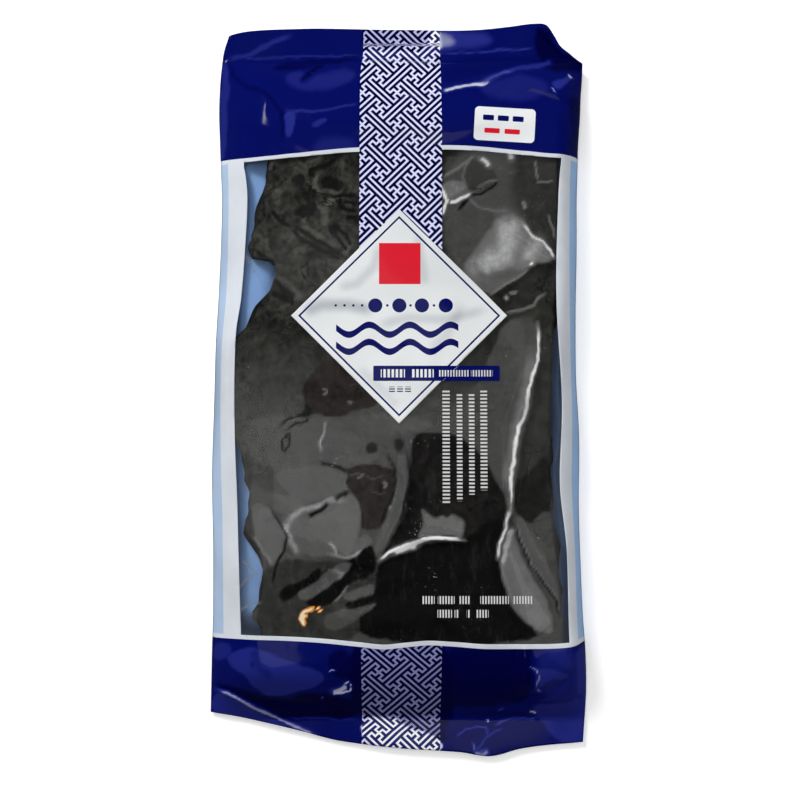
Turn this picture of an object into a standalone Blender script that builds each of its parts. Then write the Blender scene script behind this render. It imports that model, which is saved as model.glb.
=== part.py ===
# A sealed film bag of dried kelp, lying on its back.
# The bag is one closed solid: a front film over the stack of kelp, a back film that is flat
# where the bag lies on the table, and a thin sealed flap at each end.
# X runs across the bag, Y from its bottom seal to its top seal, Z up. The origin is on the
# table under the middle of the bag. Sizes below are in millimetres.

import math

import bmesh
import bpy
from mathutils import Vector, noise

MM = 0.001

# the outline seen from above, each edge as points along it
LEFT_EDGE = ((-156, -88.9), (-108, -87.7), (-33, -88.9), (5, -88.0), (45, -86.6), (84, -85.6),
             (103, -86.3), (133, -87.6), (160, -85.6), (170, -82.8))
RIGHT_EDGE = ((-170, 86.4), (-145, 88.0), (-108, 86.5), (-61, 85.1), (-23, 85.5), (6, 84.4),
              (83, 85.8), (112, 87.1), (133, 88.5), (157, 89.4))
TOP_EDGE = ((-89, 164.5), (-84, 169.4), (-70, 172.9), (-47, 174.4), (-17, 173.4), (12, 173.6),
            (36, 173.4), (53, 174.4), (65, 176), (70.6, 175.4), (74.4, 170), (77, 165.6),
            (82.2, 161.9), (89.5, 157))
BOTTOM_EDGE = ((-89, -155.6), (-73, -158.4), (-50, -163.4), (-28, -169), (0, -172.2), (28, -174),
               (40, -175.9), (46, -175.4), (56, -172.6), (68, -170.8), (87, -169.4))

# heights of the film above the table
STACK_HEIGHT = 24
SIDE_RIM_HEIGHT = 6.5
TOP_SEAL_HEIGHT = 7.5
BOTTOM_SEAL_HEIGHT = 2.6
FLAP_THICKNESS = 1.2

# where the seals and the stack inside end
TOP_SEAL = 158
BOTTOM_SEAL = -158.5
STACK_TOP = 117
STACK_BOTTOM = -121
STACK_LEFT = ((-121, -63), (-80, -64), (-36, -75), (14, -77), (40, -61), (80, -64), (117, -61))
STACK_RIGHT = ((-121, 76), (-60, 70), (0, 70), (60, 74), (117, 73))

# how steeply the film falls from the stack to each side: a small number is a full shoulder
LEFT_SHOULDER = 0.85
RIGHT_SHOULDER = 0.8
TOP_SHOULDER = 0.62
BOTTOM_SHOULDER = 1.15

# how far in from the rim the back film meets the table
UNDERSIDE_LIFT = 20

# broad swells of the stack: centre, half lengths along X and Y, height
SWELL_FALL = 1.5
SWELLS = (
    ((-36, -70), (24, 13), 2.2),
    ((50, 56), (26, 20), 2.6),
    ((38, 95), (15, 10), 1.6),
    ((-30, 70), (30, 34), 1.2),
    ((10, -110), (40, 12), 1.4),
    ((-58, -138), (25, 12), 4.0),
    ((62, -140), (16, 13), 3.0),
    ((-66, 132), (14, 10), 2.0),
    ((30, 122), (44, 10), 1.4),
)

# sharp folds of the film: route, half width, height, where a valley is below zero
# a fold has a part of its height at its two ends, and all of it past a part of its length
FOLD_END_HEIGHT = 0.3
FOLD_END_LENGTH = 0.25
FOLDS = (
    (((-50, 120), (-37, 127), (-14, 133), (20, 140), (39, 145), (58, 149), (70, 147)), 7, 2.4),
    (((-82, 154), (-80, 148), (-75, 143), (-61, 136), (-56, 131), (-56, 121)), 6, -3.0),
    (((-60, 152), (-40, 148), (-12, 151)), 8, -3.0),
    (((40, 134), (62, 138), (84, 130)), 6, -1.8),
    (((56, 30), (63, 27), (64, 15), (61, -3), (55, -18), (53, -35), (51, -62)), 7, 2.6),
    (((50, -62), (47, -75), (45, -82), (48, -92), (55, -114)), 6, 1.8),
    (((50, -62), (54, -72), (58, -82), (63, -92), (73, -107)), 6, -2.4),
    (((0, -37), (3, -49), (0, -63), (-10, -83)), 6, 1.6),
    (((-10, -83), (2, -77), (9, -74), (18, -74), (30, -75)), 6, 2.2),
    (((20, 80), (28, 83), (33, 86), (46, 91)), 5, -2.0),
    (((45, 76), (63, 64), (71, 55), (62, 51)), 6, 1.8),
    (((-86, -144), (-81, -146), (-65, -153), (-46, -162), (-41, -164)), 6, 2.4),
    (((-72, -150), (-60, -149), (-34, -152)), 6, -2.4),
    (((57, -124), (57, -133), (58, -145)), 5, 2.0),
    (((80, -136), (66, -146), (47, -154)), 6, -2.4),
    (((25, -158), (33, -155), (37, -158), (47, -154), (60, -156)), 5, 1.6),
)

# slow waves along the free edges, the stack's own unevenness, and how much of it the slopes take
RIM_WAVE_HEIGHT = 3.2
RIM_WAVE_LENGTH = 38
UNEVEN_HEIGHT = 1.7
UNEVEN_LENGTH = 34
SLOPE_RELIEF = 0.35

# cells across and along each film
CELLS_ACROSS = 42
CELLS_ALONG = 92

FILM_COLOUR = (0.01, 0.012, 0.13, 1)
FILM_ROUGHNESS = 0.3


def smooth_line(points, at):
    """The smooth curve through points (position, value), read at a position."""
    last = len(points) - 2
    step = 0
    while step < last and at > points[step + 1][0]:
        step += 1
    (start, low), (end, high) = points[step], points[step + 1]

    def slope(number):
        before = points[max(number - 1, 0)]
        after = points[min(number + 1, len(points) - 1)]
        return (after[1] - before[1]) / (after[0] - before[0])

    length = end - start
    t = min(max((at - start) / length, 0), 1)
    rise = (1 - t) ** 2 * t * slope(step) * length
    fall = t * t * (t - 1) * slope(step + 1) * length
    return low + (high - low) * ease(t) + rise + fall


def ease(t):
    t = min(max(t, 0), 1)
    return t * t * (3 - 2 * t)


def plan_point(across, along):
    """The point of the outline's surface at two fractions of its width and length."""
    x = 0
    y = 0
    for _ in range(8):
        bottom = smooth_line(BOTTOM_EDGE, x)
        top = smooth_line(TOP_EDGE, x)
        y = bottom + (top - bottom) * along
        left = smooth_line(LEFT_EDGE, y)
        right = smooth_line(RIGHT_EDGE, y)
        x = left + (right - left) * across
    return x, y


def distance_to_route(point, route):
    """Distance to a route, and the fraction of its length where it is nearest."""
    nearest = math.inf
    place = 0
    for number in range(len(route) - 1):
        start = Vector(route[number])
        run = Vector(route[number + 1]) - start
        t = min(max((point - start).dot(run) / run.length_squared, 0), 1)
        distance = (point - start - run * t).length
        if distance < nearest:
            nearest = distance
            place = (number + t) / (len(route) - 1)
    return nearest, place


def relief(x, y):
    """Height that the swells, folds and unevenness add to the front film."""
    point = Vector((x, y))
    height = UNEVEN_HEIGHT * noise.noise(Vector((x, y, 0)) / UNEVEN_LENGTH)
    for (centre_x, centre_y), (half_x, half_y), swell in SWELLS:
        span = ((x - centre_x) / half_x) ** 2 + ((y - centre_y) / half_y) ** 2
        height += swell * math.exp(-SWELL_FALL * span)
    for route, half_width, fold in FOLDS:
        distance, place = distance_to_route(point, route)
        if distance < half_width:
            to_end = min(place, 1 - place)
            fade = min(1, FOLD_END_HEIGHT + to_end / FOLD_END_LENGTH)
            height += fold * fade * (1 - distance / half_width) ** 2
    return height


def rim_height(x, y):
    """Height of the film's free edge, also along the flaps."""
    top = ease((y - STACK_TOP) / (TOP_SEAL - STACK_TOP))
    bottom = ease((STACK_BOTTOM - y) / (STACK_BOTTOM - BOTTOM_SEAL))
    height = SIDE_RIM_HEIGHT
    height += (TOP_SEAL_HEIGHT - SIDE_RIM_HEIGHT) * top
    height += (BOTTOM_SEAL_HEIGHT - SIDE_RIM_HEIGHT) * bottom
    wave = noise.noise(Vector((x, y, RIM_WAVE_LENGTH)) / RIM_WAVE_LENGTH)
    return height + RIM_WAVE_HEIGHT * wave * (1 - 0.5 * bottom)


def shoulder(t, power):
    """Rise of the film from 0 at a rim to 1 over the stack."""
    return math.sin(min(max(t, 0), 1) * math.pi / 2) ** power


def film_heights(x, y):
    """Heights of the front and the back film above the table."""
    beside_stack = min(max(y, STACK_BOTTOM), STACK_TOP)
    left_edge = smooth_line(LEFT_EDGE, y)
    right_edge = smooth_line(RIGHT_EDGE, y)
    left = (x - left_edge) / (smooth_line(STACK_LEFT, beside_stack) - left_edge)
    right = (right_edge - x) / (right_edge - smooth_line(STACK_RIGHT, beside_stack))
    top = (TOP_SEAL - y) / (TOP_SEAL - STACK_TOP)
    bottom = (y - BOTTOM_SEAL) / (STACK_BOTTOM - BOTTOM_SEAL)
    fill = shoulder(left, LEFT_SHOULDER) * shoulder(right, RIGHT_SHOULDER)
    fill *= shoulder(top, TOP_SHOULDER) * shoulder(bottom, BOTTOM_SHOULDER)

    rim = rim_height(x, y)
    folds = relief(x, y)
    front = rim + FLAP_THICKNESS / 2 + (STACK_HEIGHT + folds - rim) * fill
    front += SLOPE_RELIEF * folds * (1 - fill) * ease(4 * fill)

    to_rim = min(x - left_edge, right_edge - x, TOP_SEAL - y, y - BOTTOM_SEAL)
    lift = 1 - ease(to_rim / UNDERSIDE_LIFT)
    back = (rim - FLAP_THICKNESS / 2) * lift
    return max(front, back + FLAP_THICKNESS), back


def add_film(mesh, is_front):
    """One film as a grid of cells, bent to its heights."""
    grid = bmesh.ops.create_grid(mesh, x_segments=CELLS_ACROSS, y_segments=CELLS_ALONG, size=0.5)
    for vert in grid["verts"]:
        x, y = plan_point(vert.co.x + 0.5, vert.co.y + 0.5)
        front, back = film_heights(x, y)
        vert.co = Vector((x, y, front if is_front else back)) * MM
    return grid["verts"]


def kelp_bag():
    """The whole bag as one closed solid."""
    mesh = bmesh.new()
    add_film(mesh, True)
    back = add_film(mesh, False)
    edges = [edge for edge in mesh.edges if edge.is_boundary]
    bmesh.ops.bridge_loops(mesh, edges=edges)
    bmesh.ops.recalc_face_normals(mesh, faces=mesh.faces)

    # the part of the back film that lies on the table becomes one flat face
    on_table = {vert for vert in back if vert.co.z < 0.00001}
    for vert in on_table:
        vert.co.z = 0
    flat = [face for face in mesh.faces if all(vert in on_table for vert in face.verts)]
    bmesh.ops.dissolve_faces(mesh, faces=flat)

    data = bpy.data.meshes.new("kelp_bag")
    mesh.to_mesh(data)
    mesh.free()
    data.shade_smooth()
    return bpy.data.objects.new("kelp_bag", data)


def printed_film():
    """The blue printed film, as a plain glossy plastic."""
    material = bpy.data.materials.new("printed_film")
    material.use_nodes = True
    shader = material.node_tree.nodes["Principled BSDF"]
    shader.inputs["Base Color"].default_value = FILM_COLOUR
    shader.inputs["Roughness"].default_value = FILM_ROUGHNESS
    shader.inputs["Metallic"].default_value = 0
    return material


for old in list(bpy.data.objects):
    bpy.data.objects.remove(old)

collection = bpy.data.collections.new("dried_kelp_bag")
bpy.context.scene.collection.children.link(collection)
bag = kelp_bag()
bag.data.materials.append(printed_film())
collection.objects.link(bag)
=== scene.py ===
# A sealed film bag of dried kelp, lying on its back: a printed front film with a clear window,
# a back film, and the stack of kelp sheets between them. Sizes are in millimetres.
import math

import bmesh
import bpy
import numpy as np
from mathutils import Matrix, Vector, noise


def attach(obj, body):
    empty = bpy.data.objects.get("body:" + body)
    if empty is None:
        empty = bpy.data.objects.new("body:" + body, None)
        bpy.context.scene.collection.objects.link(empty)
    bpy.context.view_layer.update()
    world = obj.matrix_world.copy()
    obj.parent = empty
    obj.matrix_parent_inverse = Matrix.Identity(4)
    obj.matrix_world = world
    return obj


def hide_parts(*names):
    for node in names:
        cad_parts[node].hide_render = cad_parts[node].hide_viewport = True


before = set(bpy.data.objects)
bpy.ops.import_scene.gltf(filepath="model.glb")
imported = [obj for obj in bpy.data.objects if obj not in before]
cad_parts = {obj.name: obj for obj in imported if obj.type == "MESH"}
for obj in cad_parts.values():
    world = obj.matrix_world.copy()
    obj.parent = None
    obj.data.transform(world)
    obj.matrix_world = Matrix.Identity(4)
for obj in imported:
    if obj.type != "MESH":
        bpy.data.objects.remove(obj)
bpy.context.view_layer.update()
mm = 0.001
print("frame loaded")


# the bag's form, as the CAD solid has it
bag = {
    "leftEdge": ((-156, -88.9), (-108, -87.7), (-33, -88.9), (5, -88.0), (45, -86.6), (84, -85.6),
                 (103, -86.3), (133, -87.6), (160, -85.6), (170, -82.8)),
    "rightEdge": ((-170, 86.4), (-145, 88.0), (-108, 86.5), (-61, 85.1), (-23, 85.5), (6, 84.4),
                  (83, 85.8), (112, 87.1), (133, 88.5), (157, 89.4)),
    "topEdge": ((-89, 164.5), (-84, 169.4), (-70, 172.9), (-47, 174.4), (-17, 173.4), (12, 173.6),
                (36, 173.4), (53, 174.4), (65, 176), (70.6, 175.4), (74.4, 170), (77, 165.6),
                (82.2, 161.9), (89.5, 157)),
    "bottomEdge": ((-89, -155.6), (-73, -158.4), (-50, -163.4), (-28, -169), (0, -172.2), (28, -174),
                   (40, -175.9), (46, -175.4), (56, -172.6), (68, -170.8), (87, -169.4)),
    "stackHeight": 24,
    "sideRimHeight": 6.5,
    "topSealHeight": 7.5,
    "bottomSealHeight": 2.6,
    "topSeal": 158,
    "bottomSeal": -158.5,
    "stackTop": 117,
    "stackBottom": -121,
    "stackLeft": ((-121, -63), (-80, -64), (-36, -75), (14, -77), (40, -61), (80, -64), (117, -61)),
    "stackRight": ((-121, 76), (-60, 70), (0, 70), (60, 74), (117, 73)),
    "leftShoulder": 0.85,
    "rightShoulder": 0.8,
    "topShoulder": 0.62,
    "bottomShoulder": 1.15,
    "undersideLift": 20,
    "swellFall": 1.5,
    "swells": (
        ((-36, -70), (24, 13), 2.2),
        ((50, 56), (26, 20), 2.6),
        ((38, 95), (15, 10), 1.6),
        ((-30, 70), (30, 34), 1.2),
        ((10, -110), (40, 12), 1.4),
        ((-58, -138), (25, 12), 4.0),
        ((62, -140), (16, 13), 3.0),
        ((30, 122), (44, 10), 1.4),
    ),
    "foldEndHeight": 0.3,
    "foldEndLength": 0.25,
    "folds": (
        (((-20, 132), (2, 136), (20, 140), (39, 145), (58, 149), (70, 147)), 7, 1.5),
        (((-60, 152), (-40, 148), (-12, 151)), 8, -3.0),
        (((40, 134), (62, 138), (84, 130)), 6, -1.8),
        (((56, 30), (63, 27), (64, 15), (61, -3), (55, -18), (53, -35), (51, -62)), 7, 2.6),
        (((50, -62), (47, -75), (45, -82), (48, -92), (55, -114)), 6, 1.8),
        (((50, -62), (54, -72), (58, -82), (63, -92), (73, -107)), 6, -2.4),
        (((0, -37), (3, -49), (0, -63), (-10, -83)), 6, 1.6),
        (((-10, -83), (2, -77), (9, -74), (18, -74), (30, -75)), 6, 2.2),
        (((20, 80), (28, 83), (33, 86), (46, 91)), 5, -2.0),
        (((45, 76), (63, 64), (71, 55), (62, 51)), 6, 1.8),
        (((-86, -144), (-81, -146), (-65, -153), (-46, -162), (-41, -164)), 6, 2.4),
        (((-72, -150), (-60, -149), (-34, -152)), 6, -2.4),
        (((57, -124), (57, -133), (58, -145)), 5, 2.0),
        (((80, -136), (66, -146), (47, -154)), 6, -2.4),
        (((25, -158), (33, -155), (37, -158), (47, -154), (60, -156)), 5, 1.6),
    ),
    "rimWaveHeight": 3.2,
    "rimWaveLength": 38,
    "unevenHeight": 1.7,
    "unevenLength": 34,
    "slopeRelief": 0.35,
    "flapThickness": 0.7,
    "rightShade": 0.55,
    "sideFolds": ((-69, 15, 15, (-122, 118)), (75, 6, 11, (-122, 118))),
    # the photographed outline keeps this far inside the form at the top and along the right
    "insideTop": 1.9,
    "insideRight": (0.55, 0.6),
    # where each of these starts and the length over which it comes in
    "insideTopFrom": (106, 45),
    "insideRightFrom": (78, 9),
    "insideRightTop": ((95, 20), (152, -15)),
    "shadeFrom": ((50, 15), (86, -4)),
}


def ease(t):
    t = np.clip(t, 0, 1)
    return t * t * (3 - 2 * t)


def risen(value, start, span):
    # from 0 at the start to 1 past the span, which may run backwards
    return ease((value - start) / span)


def smoothLine(points, at):
    # the smooth curve through points (position, value), read at many positions
    places, values = np.array(points, float).T
    count = len(places)
    before = np.maximum(np.arange(count) - 1, 0)
    after = np.minimum(np.arange(count) + 1, count - 1)
    slopes = (values[after] - values[before]) / (places[after] - places[before])
    step = np.clip(np.searchsorted(places, at, side="left") - 1, 0, count - 2)
    length = places[step + 1] - places[step]
    t = np.clip((at - places[step]) / length, 0, 1)
    rise = (1 - t) ** 2 * t * slopes[step] * length
    fall = t * t * (t - 1) * slopes[step + 1] * length
    return values[step] + (values[step + 1] - values[step]) * ease(t) + rise + fall


def planPoints(across, along):
    # places seen from above, for fractions of the bag's width and length
    x = np.zeros_like(across)
    y = np.zeros_like(across)
    for _ in range(8):
        bottom = smoothLine(bag["bottomEdge"], x)
        top = smoothLine(bag["topEdge"], x)
        y = bottom + (top - bottom) * along
        left = smoothLine(bag["leftEdge"], y)
        right = smoothLine(bag["rightEdge"], y)
        x = left + (right - left) * across
    return x, y


def settled(x, y):
    low, high = bag["insideRight"]
    atTop = risen(y, *bag["insideRightTop"][0]) * risen(y, *bag["insideRightTop"][1])
    x = x - (low + high * atTop) * risen(x, *bag["insideRightFrom"])
    return x, y - bag["insideTop"] * risen(y, *bag["insideTopFrom"])


def asSeen(x, y, z, level):
    # where the camera sees a place against the plane at that level
    tilt = math.radians(studio["tilt"])
    eyeX, eyeY = studio["look"][0], studio["look"][1] - studio["distance"] * math.sin(tilt)
    eyeZ = studio["distance"] * math.cos(tilt)
    part = (eyeZ - level) / (eyeZ - z)
    return eyeX + (x - eyeX) * part, eyeY + (y - eyeY) * part


def routeDistance(x, y, route):
    # distance to a route, the fraction of its length there, and the side: +1 is left of it
    nearest = np.full_like(x, np.inf)
    place = np.zeros_like(x)
    side = np.ones_like(x)
    for number, (start, end) in enumerate(zip(route[:-1], route[1:])):
        runX, runY = end[0] - start[0], end[1] - start[1]
        t = np.clip(((x - start[0]) * runX + (y - start[1]) * runY) / (runX ** 2 + runY ** 2), 0, 1)
        awayX, awayY = x - start[0] - runX * t, y - start[1] - runY * t
        distance = np.hypot(awayX, awayY)
        closer = distance < nearest
        nearest = np.where(closer, distance, nearest)
        place = np.where(closer, (number + t) / (len(route) - 1), place)
        side = np.where(closer, np.sign(runX * awayY - runY * awayX), side)
    return nearest, place, side


def noiseField(x, y, layer, size):
    return np.array([noise.noise((a, b, layer)) for a, b in zip(x / size, y / size)])


def routePart(x, y, route, halfWidth, reach=1.2, atEnds=0.3):
    # 1 on a route and 0 away from it, less towards its two ends
    distance, place, _ = routeDistance(x, y, route)
    return ease(reach - distance / halfWidth) * ease(atEnds + np.minimum(place, 1 - place) * 6)


def foldHeights(x, y, folds):
    height = np.zeros_like(x)
    for route, halfWidth, fold in folds:
        distance, place, _ = routeDistance(x, y, route)
        fade = bag["foldEndHeight"] + np.minimum(place, 1 - place) / bag["foldEndLength"]
        rise = np.clip(1 - distance / halfWidth, 0, 1) ** 2
        height += fold * np.minimum(fade, 1) * rise
    return height


def relief(x, y):
    height = bag["unevenHeight"] * noiseField(x, y, 0, bag["unevenLength"])
    for (centreX, centreY), (halfX, halfY), swell in bag["swells"]:
        span = ((x - centreX) / halfX) ** 2 + ((y - centreY) / halfY) ** 2
        height += swell * np.exp(-bag["swellFall"] * span)
    return height + foldHeights(x, y, bag["folds"])


def rimHeight(x, y):
    top = ease((y - bag["stackTop"]) / (bag["topSeal"] - bag["stackTop"]))
    bottom = ease((bag["stackBottom"] - y) / (bag["stackBottom"] - bag["bottomSeal"]))
    height = bag["sideRimHeight"]
    height = height + (bag["topSealHeight"] - bag["sideRimHeight"]) * top
    height = height + (bag["bottomSealHeight"] - bag["sideRimHeight"]) * bottom
    wave = noiseField(x, y, 1, bag["rimWaveLength"])
    return height + bag["rimWaveHeight"] * wave * (1 - 0.5 * bottom)


def shoulder(t, power):
    return np.sin(np.clip(t, 0, 1) * math.pi / 2) ** power


def sideFold(x, y):
    # the back film is pushed up between the stack and the side borders
    height = np.zeros_like(x)
    for middle, halfWidth, fold, (low, high) in bag["sideFolds"]:
        across = ease(1.3 - np.abs(x - middle - noiseField(y, y * 0, 5, 30) * 3) / halfWidth)
        height = np.maximum(height, fold * across * ease((y - low) / 15) * ease((high - y) / 15))
    return height


def filmHeights(x, y):
    # heights of the front and the back film, and how far the front one has risen to the stack
    besideStack = np.clip(y, bag["stackBottom"], bag["stackTop"])
    leftEdge = smoothLine(bag["leftEdge"], y)
    rightEdge = smoothLine(bag["rightEdge"], y)
    left = (x - leftEdge) / (smoothLine(bag["stackLeft"], besideStack) - leftEdge)
    right = (rightEdge - x) / (rightEdge - smoothLine(bag["stackRight"], besideStack))
    top = (bag["topSeal"] - y) / (bag["topSeal"] - bag["stackTop"])
    bottom = (y - bag["bottomSeal"]) / (bag["stackBottom"] - bag["bottomSeal"])
    fill = shoulder(left, bag["leftShoulder"]) * shoulder(right, bag["rightShoulder"])
    fill = fill * shoulder(top, bag["topShoulder"]) * shoulder(bottom, bag["bottomShoulder"])

    rim = rimHeight(x, y)
    folds = relief(x, y)
    front = rim + bag["flapThickness"] / 2 + (bag["stackHeight"] + folds - rim) * fill
    front += bag["slopeRelief"] * folds * (1 - fill) * ease(4 * fill)

    toRim = np.minimum(np.minimum(x - leftEdge, rightEdge - x), bag["topSeal"] - y)
    toRim = np.minimum(toRim, y - bag["bottomSeal"])
    back = (rim - bag["flapThickness"] / 2) * (1 - ease(toRim / bag["undersideLift"]))
    back = np.maximum(back, np.minimum(sideFold(x, y), front - bag["flapThickness"]))
    return np.maximum(front, back + bag["flapThickness"]), back, fill


# the front film's fine creases and crumple, which lie on the bag's form
film = {
    "cellsAcross": 200,
    "cellsAlong": 396,
    "thickness": 0.2,
    "creases": (
        (((-82, 158.5), (-19, 158), (21, 160.5), (65, 163), (80, 160)), 2.2, -0.8),
        (((-8, 134), (6, 137.5), (21, 140.5), (39, 145.5), (58, 151)), 2.4, 0.7),
        (((56, 30), (63, 27), (64, 15), (61, -3), (55, -18), (53, -35), (51, -62)), 2.6, 1.5),
        (((50, -62), (47, -75), (45, -82), (48, -92), (55, -114)), 2.2, 1.0),
        (((50, -62), (54, -72), (58, -82), (63, -92), (73, -107)), 2.4, -1.3),
        (((-10, -83), (2, -77), (9, -74), (18, -74), (30, -75)), 2.4, 1.4),
        (((0, -37), (3, -49), (0, -63), (-10, -83)), 3.0, 1.2),
        (((20, 80), (28, 83), (33, 86), (46, 91)), 2.2, 1.2),
        (((45, 76), (63, 64), (71, 55), (62, 51)), 2.4, 1.2),
        (((-87, -144), (-81, -146), (-65, -153), (-46, -162)), 2.4, 1.3),
    ),
    # size of the crumple's facets, its depth over the stack, in the two ends and along the sides
    "crumple": ((40, 0.5, 0.8, 0.7), (17, 0.16, 0.18, 0.35), (7, 0.02, 0.05, 0.08)),
    # where the two ends start, and over what length
    "ends": ((100, 20), (-118, -12)),
    "high": 25.5,
    "highPress": 0.35,
}


def crumpleField(x, y, layer, size):
    # facets with sharp ridges between them, like film that was crushed and let go
    warpX = noiseField(x, y, layer + 20, size * 1.6) * size * 0.7
    warpY = noiseField(x, y, layer + 40, size * 1.6) * size * 0.7
    ridge = np.abs(noiseField(x + warpX, y + warpY, layer, size))
    return 0.5 - 2 * ridge


def frontFilmHeights(x, y):
    front, back, fill = filmHeights(x, y)
    inEnds = np.maximum(risen(y, *film["ends"][0]), risen(y, *film["ends"][1]))
    height = foldHeights(x, y, film["creases"])
    for number, (size, onStack, onEnds, onSides) in enumerate(film["crumple"]):
        depth = onStack + (onEnds - onStack) * inEnds
        depth = depth + (onSides - depth) * (1 - ease(fill * 1.2)) * (1 - inEnds)
        height += depth * crumpleField(x, y, 3 + number, size)
    front = front + height * ease(fill * 5)
    front -= (1 - film["highPress"]) * np.maximum(front - film["high"], 0)
    return np.maximum(front, back + bag["flapThickness"]), back, fill


# where the print lies on the film
printPlan = {
    "topBand": 108.6,
    "topLine": 106.5,
    "bottomLine": -120.9,
    "bottomBand": -123.0,
    "leftStripe": -82.2,
    "leftBorder": -73.9,
    "rightBorder": 75.0,
    "rightStripe": 80.6,
    "strip": (-18.9, 19.8),
    "label": (-0.3, 29.0),
    "labelHalf": 50.2,
    "leftWave": ((-120, 1.1), (-103, 0.5), (-57, -1.1), (-10, -2.6), (23, -2.1), (37, -0.6), (57, 0.9),
                 (85, 2.2), (103, 0.2)),
    "rightWave": ((-122, 2.3), (-80, 1.8), (-48, -1.1), (-10, 0.3), (37, -2.2), (85, -0.8), (105, 0.9)),
    "waveReach": 26,
    "topWave": ((-90, -1.5), (-70, -4.4), (-50, -3.1), (-20, 0), (20, 1.1), (40, 0.4), (58, -1.4),
                (75, -3.1), (90, -0.6)),
    "bottomWave": ((-86, 2.8), (-72, 3.1), (-49, 2.4), (-32, 1.3), (-18, -0.3), (-7, -1.3), (2, -0.4),
                   (13, 0.6), (25, 0), (38, -1), (53, -1), (70, -0.7), (85, 1.1)),
    "lineReach": 14,
    "stripReach": 9,
    "rimReach": 9,
    # how far the strip's edges draw in along it: at the left and at the right
    "stripWave": ((-172, 1.0, -0.9), (-158, 1.3, -0.9), (-124, 1.3, -0.6), (-60, 0, 0), (110, 0, 0),
                  (150, 0.1, -0.2), (162, 1.2, -0.2), (172, 1.3, -0.4)),
    # the height of the plane on which the print is laid out, as the camera sees it
    "level": 24,
    # places along the strip and the part of its pattern that lies there: the top seal hides some
    "stripPlaces": ((-177, -185.2), (-161.5, -169.9), (-148.2, -154.6), (-134.5, -139.3), (-121, -124),
                    (60, 71.3), (96, 105.5), (111.9, 120.8), (127.5, 136.1), (142.7, 151.4),
                    (157.8, 166.4), (158.6, 173.5), (167.6, 182), (178, 191.8)),
}
inks = ("navy", "white", "leftStripe", "fret", "label", "rightStripe", "clear")


def inkAt(x, y):
    plan = printPlan
    left, right = plan["strip"]
    inStrip = left < x < right
    if abs(x - plan["label"][0]) + abs(y - plan["label"][1]) < plan["labelHalf"]:
        return "label"
    if inStrip and (y > plan["label"][1] or y < plan["bottomBand"]):
        return "fret"
    if y > plan["topBand"] or y < plan["bottomBand"]:
        return "navy"
    if y > plan["topLine"] or y < plan["bottomLine"]:
        return "white"
    if x < plan["leftStripe"]:
        return "leftStripe"
    if x > plan["rightStripe"]:
        return "rightStripe"
    if x < plan["leftBorder"] or x > plan["rightBorder"]:
        return "white"
    return "clear"


def cutAlong(net, place, normal, near=None):
    faces = net.faces if near is None else [face for face in net.faces if near(face.calc_center_median())]
    edges = {edge for face in faces for edge in face.edges}
    verts = {vert for edge in edges for vert in edge.verts}
    bmesh.ops.bisect_plane(net, geom=list(verts) + list(edges) + list(faces), dist=0.02,
                           plane_co=(*place, 0), plane_no=(*normal, 0))


def flatNet(across, along):
    # a net of cells over the bag's outline, flat on the table
    net = bmesh.new()
    bmesh.ops.create_grid(net, x_segments=across, y_segments=along, size=0.5)
    places = np.array([vert.co.xy for vert in net.verts]) + 0.5
    for vert, x, y in zip(net.verts, *planPoints(places[:, 0], places[:, 1])):
        vert.co = (x, y, 0)
    return net


def cutPrint(net):
    plan = printPlan
    for y in (plan["topBand"], plan["topLine"], plan["bottomLine"], plan["bottomBand"]):
        cutAlong(net, (0, y), (0, 1), lambda at: abs(at.y - y) < 2)
    upright = [plan[name] for name in ("leftStripe", "leftBorder", "rightBorder", "rightStripe")]
    for x in (*upright, *plan["strip"]):
        cutAlong(net, (x, 0), (1, 0), lambda at: abs(at.x - x) < 2)
    middle, half = Vector(plan["label"]), plan["labelHalf"]
    for sideX, sideY in ((1, 1), (1, -1), (-1, 1), (-1, -1)):
        corner = middle + Vector((sideX * half / 2, sideY * half / 2))
        cutAlong(net, corner, (sideX, sideY), lambda at: (at.xy - middle).length < half + 2)


def makeMesh(name, net, materials, smooth=True):
    mesh = bpy.data.meshes.new(name)
    net.to_mesh(mesh)
    net.free()
    if smooth:
        mesh.shade_smooth()
    piece = bpy.data.objects.new(name, mesh)
    bpy.context.scene.collection.objects.link(piece)
    for material in materials:
        mesh.materials.append(material)
    return piece


def partOfNet(net, keep):
    part = net.copy()
    away = [face for face in part.faces if not keep(face)]
    bmesh.ops.delete(part, geom=away, context="FACES")
    return part


def thicken(piece, thickness, offset, insideSlot=0):
    solid = piece.modifiers.new("thickness", "SOLIDIFY")
    solid.thickness = thickness * mm
    solid.offset = offset
    solid.material_offset = insideSlot
    return solid


# node helpers
def addNode(tree, kind, **values):
    node = tree.nodes.new(kind)
    for name, value in values.items():
        setattr(node, name, value)
    return node


def feed(tree, socket, value):
    if isinstance(value, bpy.types.NodeSocket):
        tree.links.new(value, socket)
    else:
        socket.default_value = value


def sums(tree, operation, *values):
    node = addNode(tree, "ShaderNodeMath", operation=operation)
    for number, value in enumerate(values):
        feed(tree, node.inputs[number], value)
    return node.outputs[0]


def plus(tree, *values):
    return sums(tree, "ADD", *values)


def minus(tree, *values):
    return sums(tree, "SUBTRACT", *values)


def times(tree, *values):
    return sums(tree, "MULTIPLY", *values)


def larger(tree, *values):
    return sums(tree, "MAXIMUM", *values)


def smaller(tree, *values):
    return sums(tree, "MINIMUM", *values)


def apart(tree, value, centre):
    # the distance from a value to a centre
    return sums(tree, "ABSOLUTE", minus(tree, value, centre))


def stored(tree, name, kind="Fac"):
    # what the piece's points carry under that name
    return addNode(tree, "ShaderNodeAttribute", attribute_name=name).outputs[kind]


def numbersOf(tree, point):
    split = addNode(tree, "ShaderNodeSeparateXYZ")
    feed(tree, split.inputs[0], point)
    return split.outputs


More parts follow.
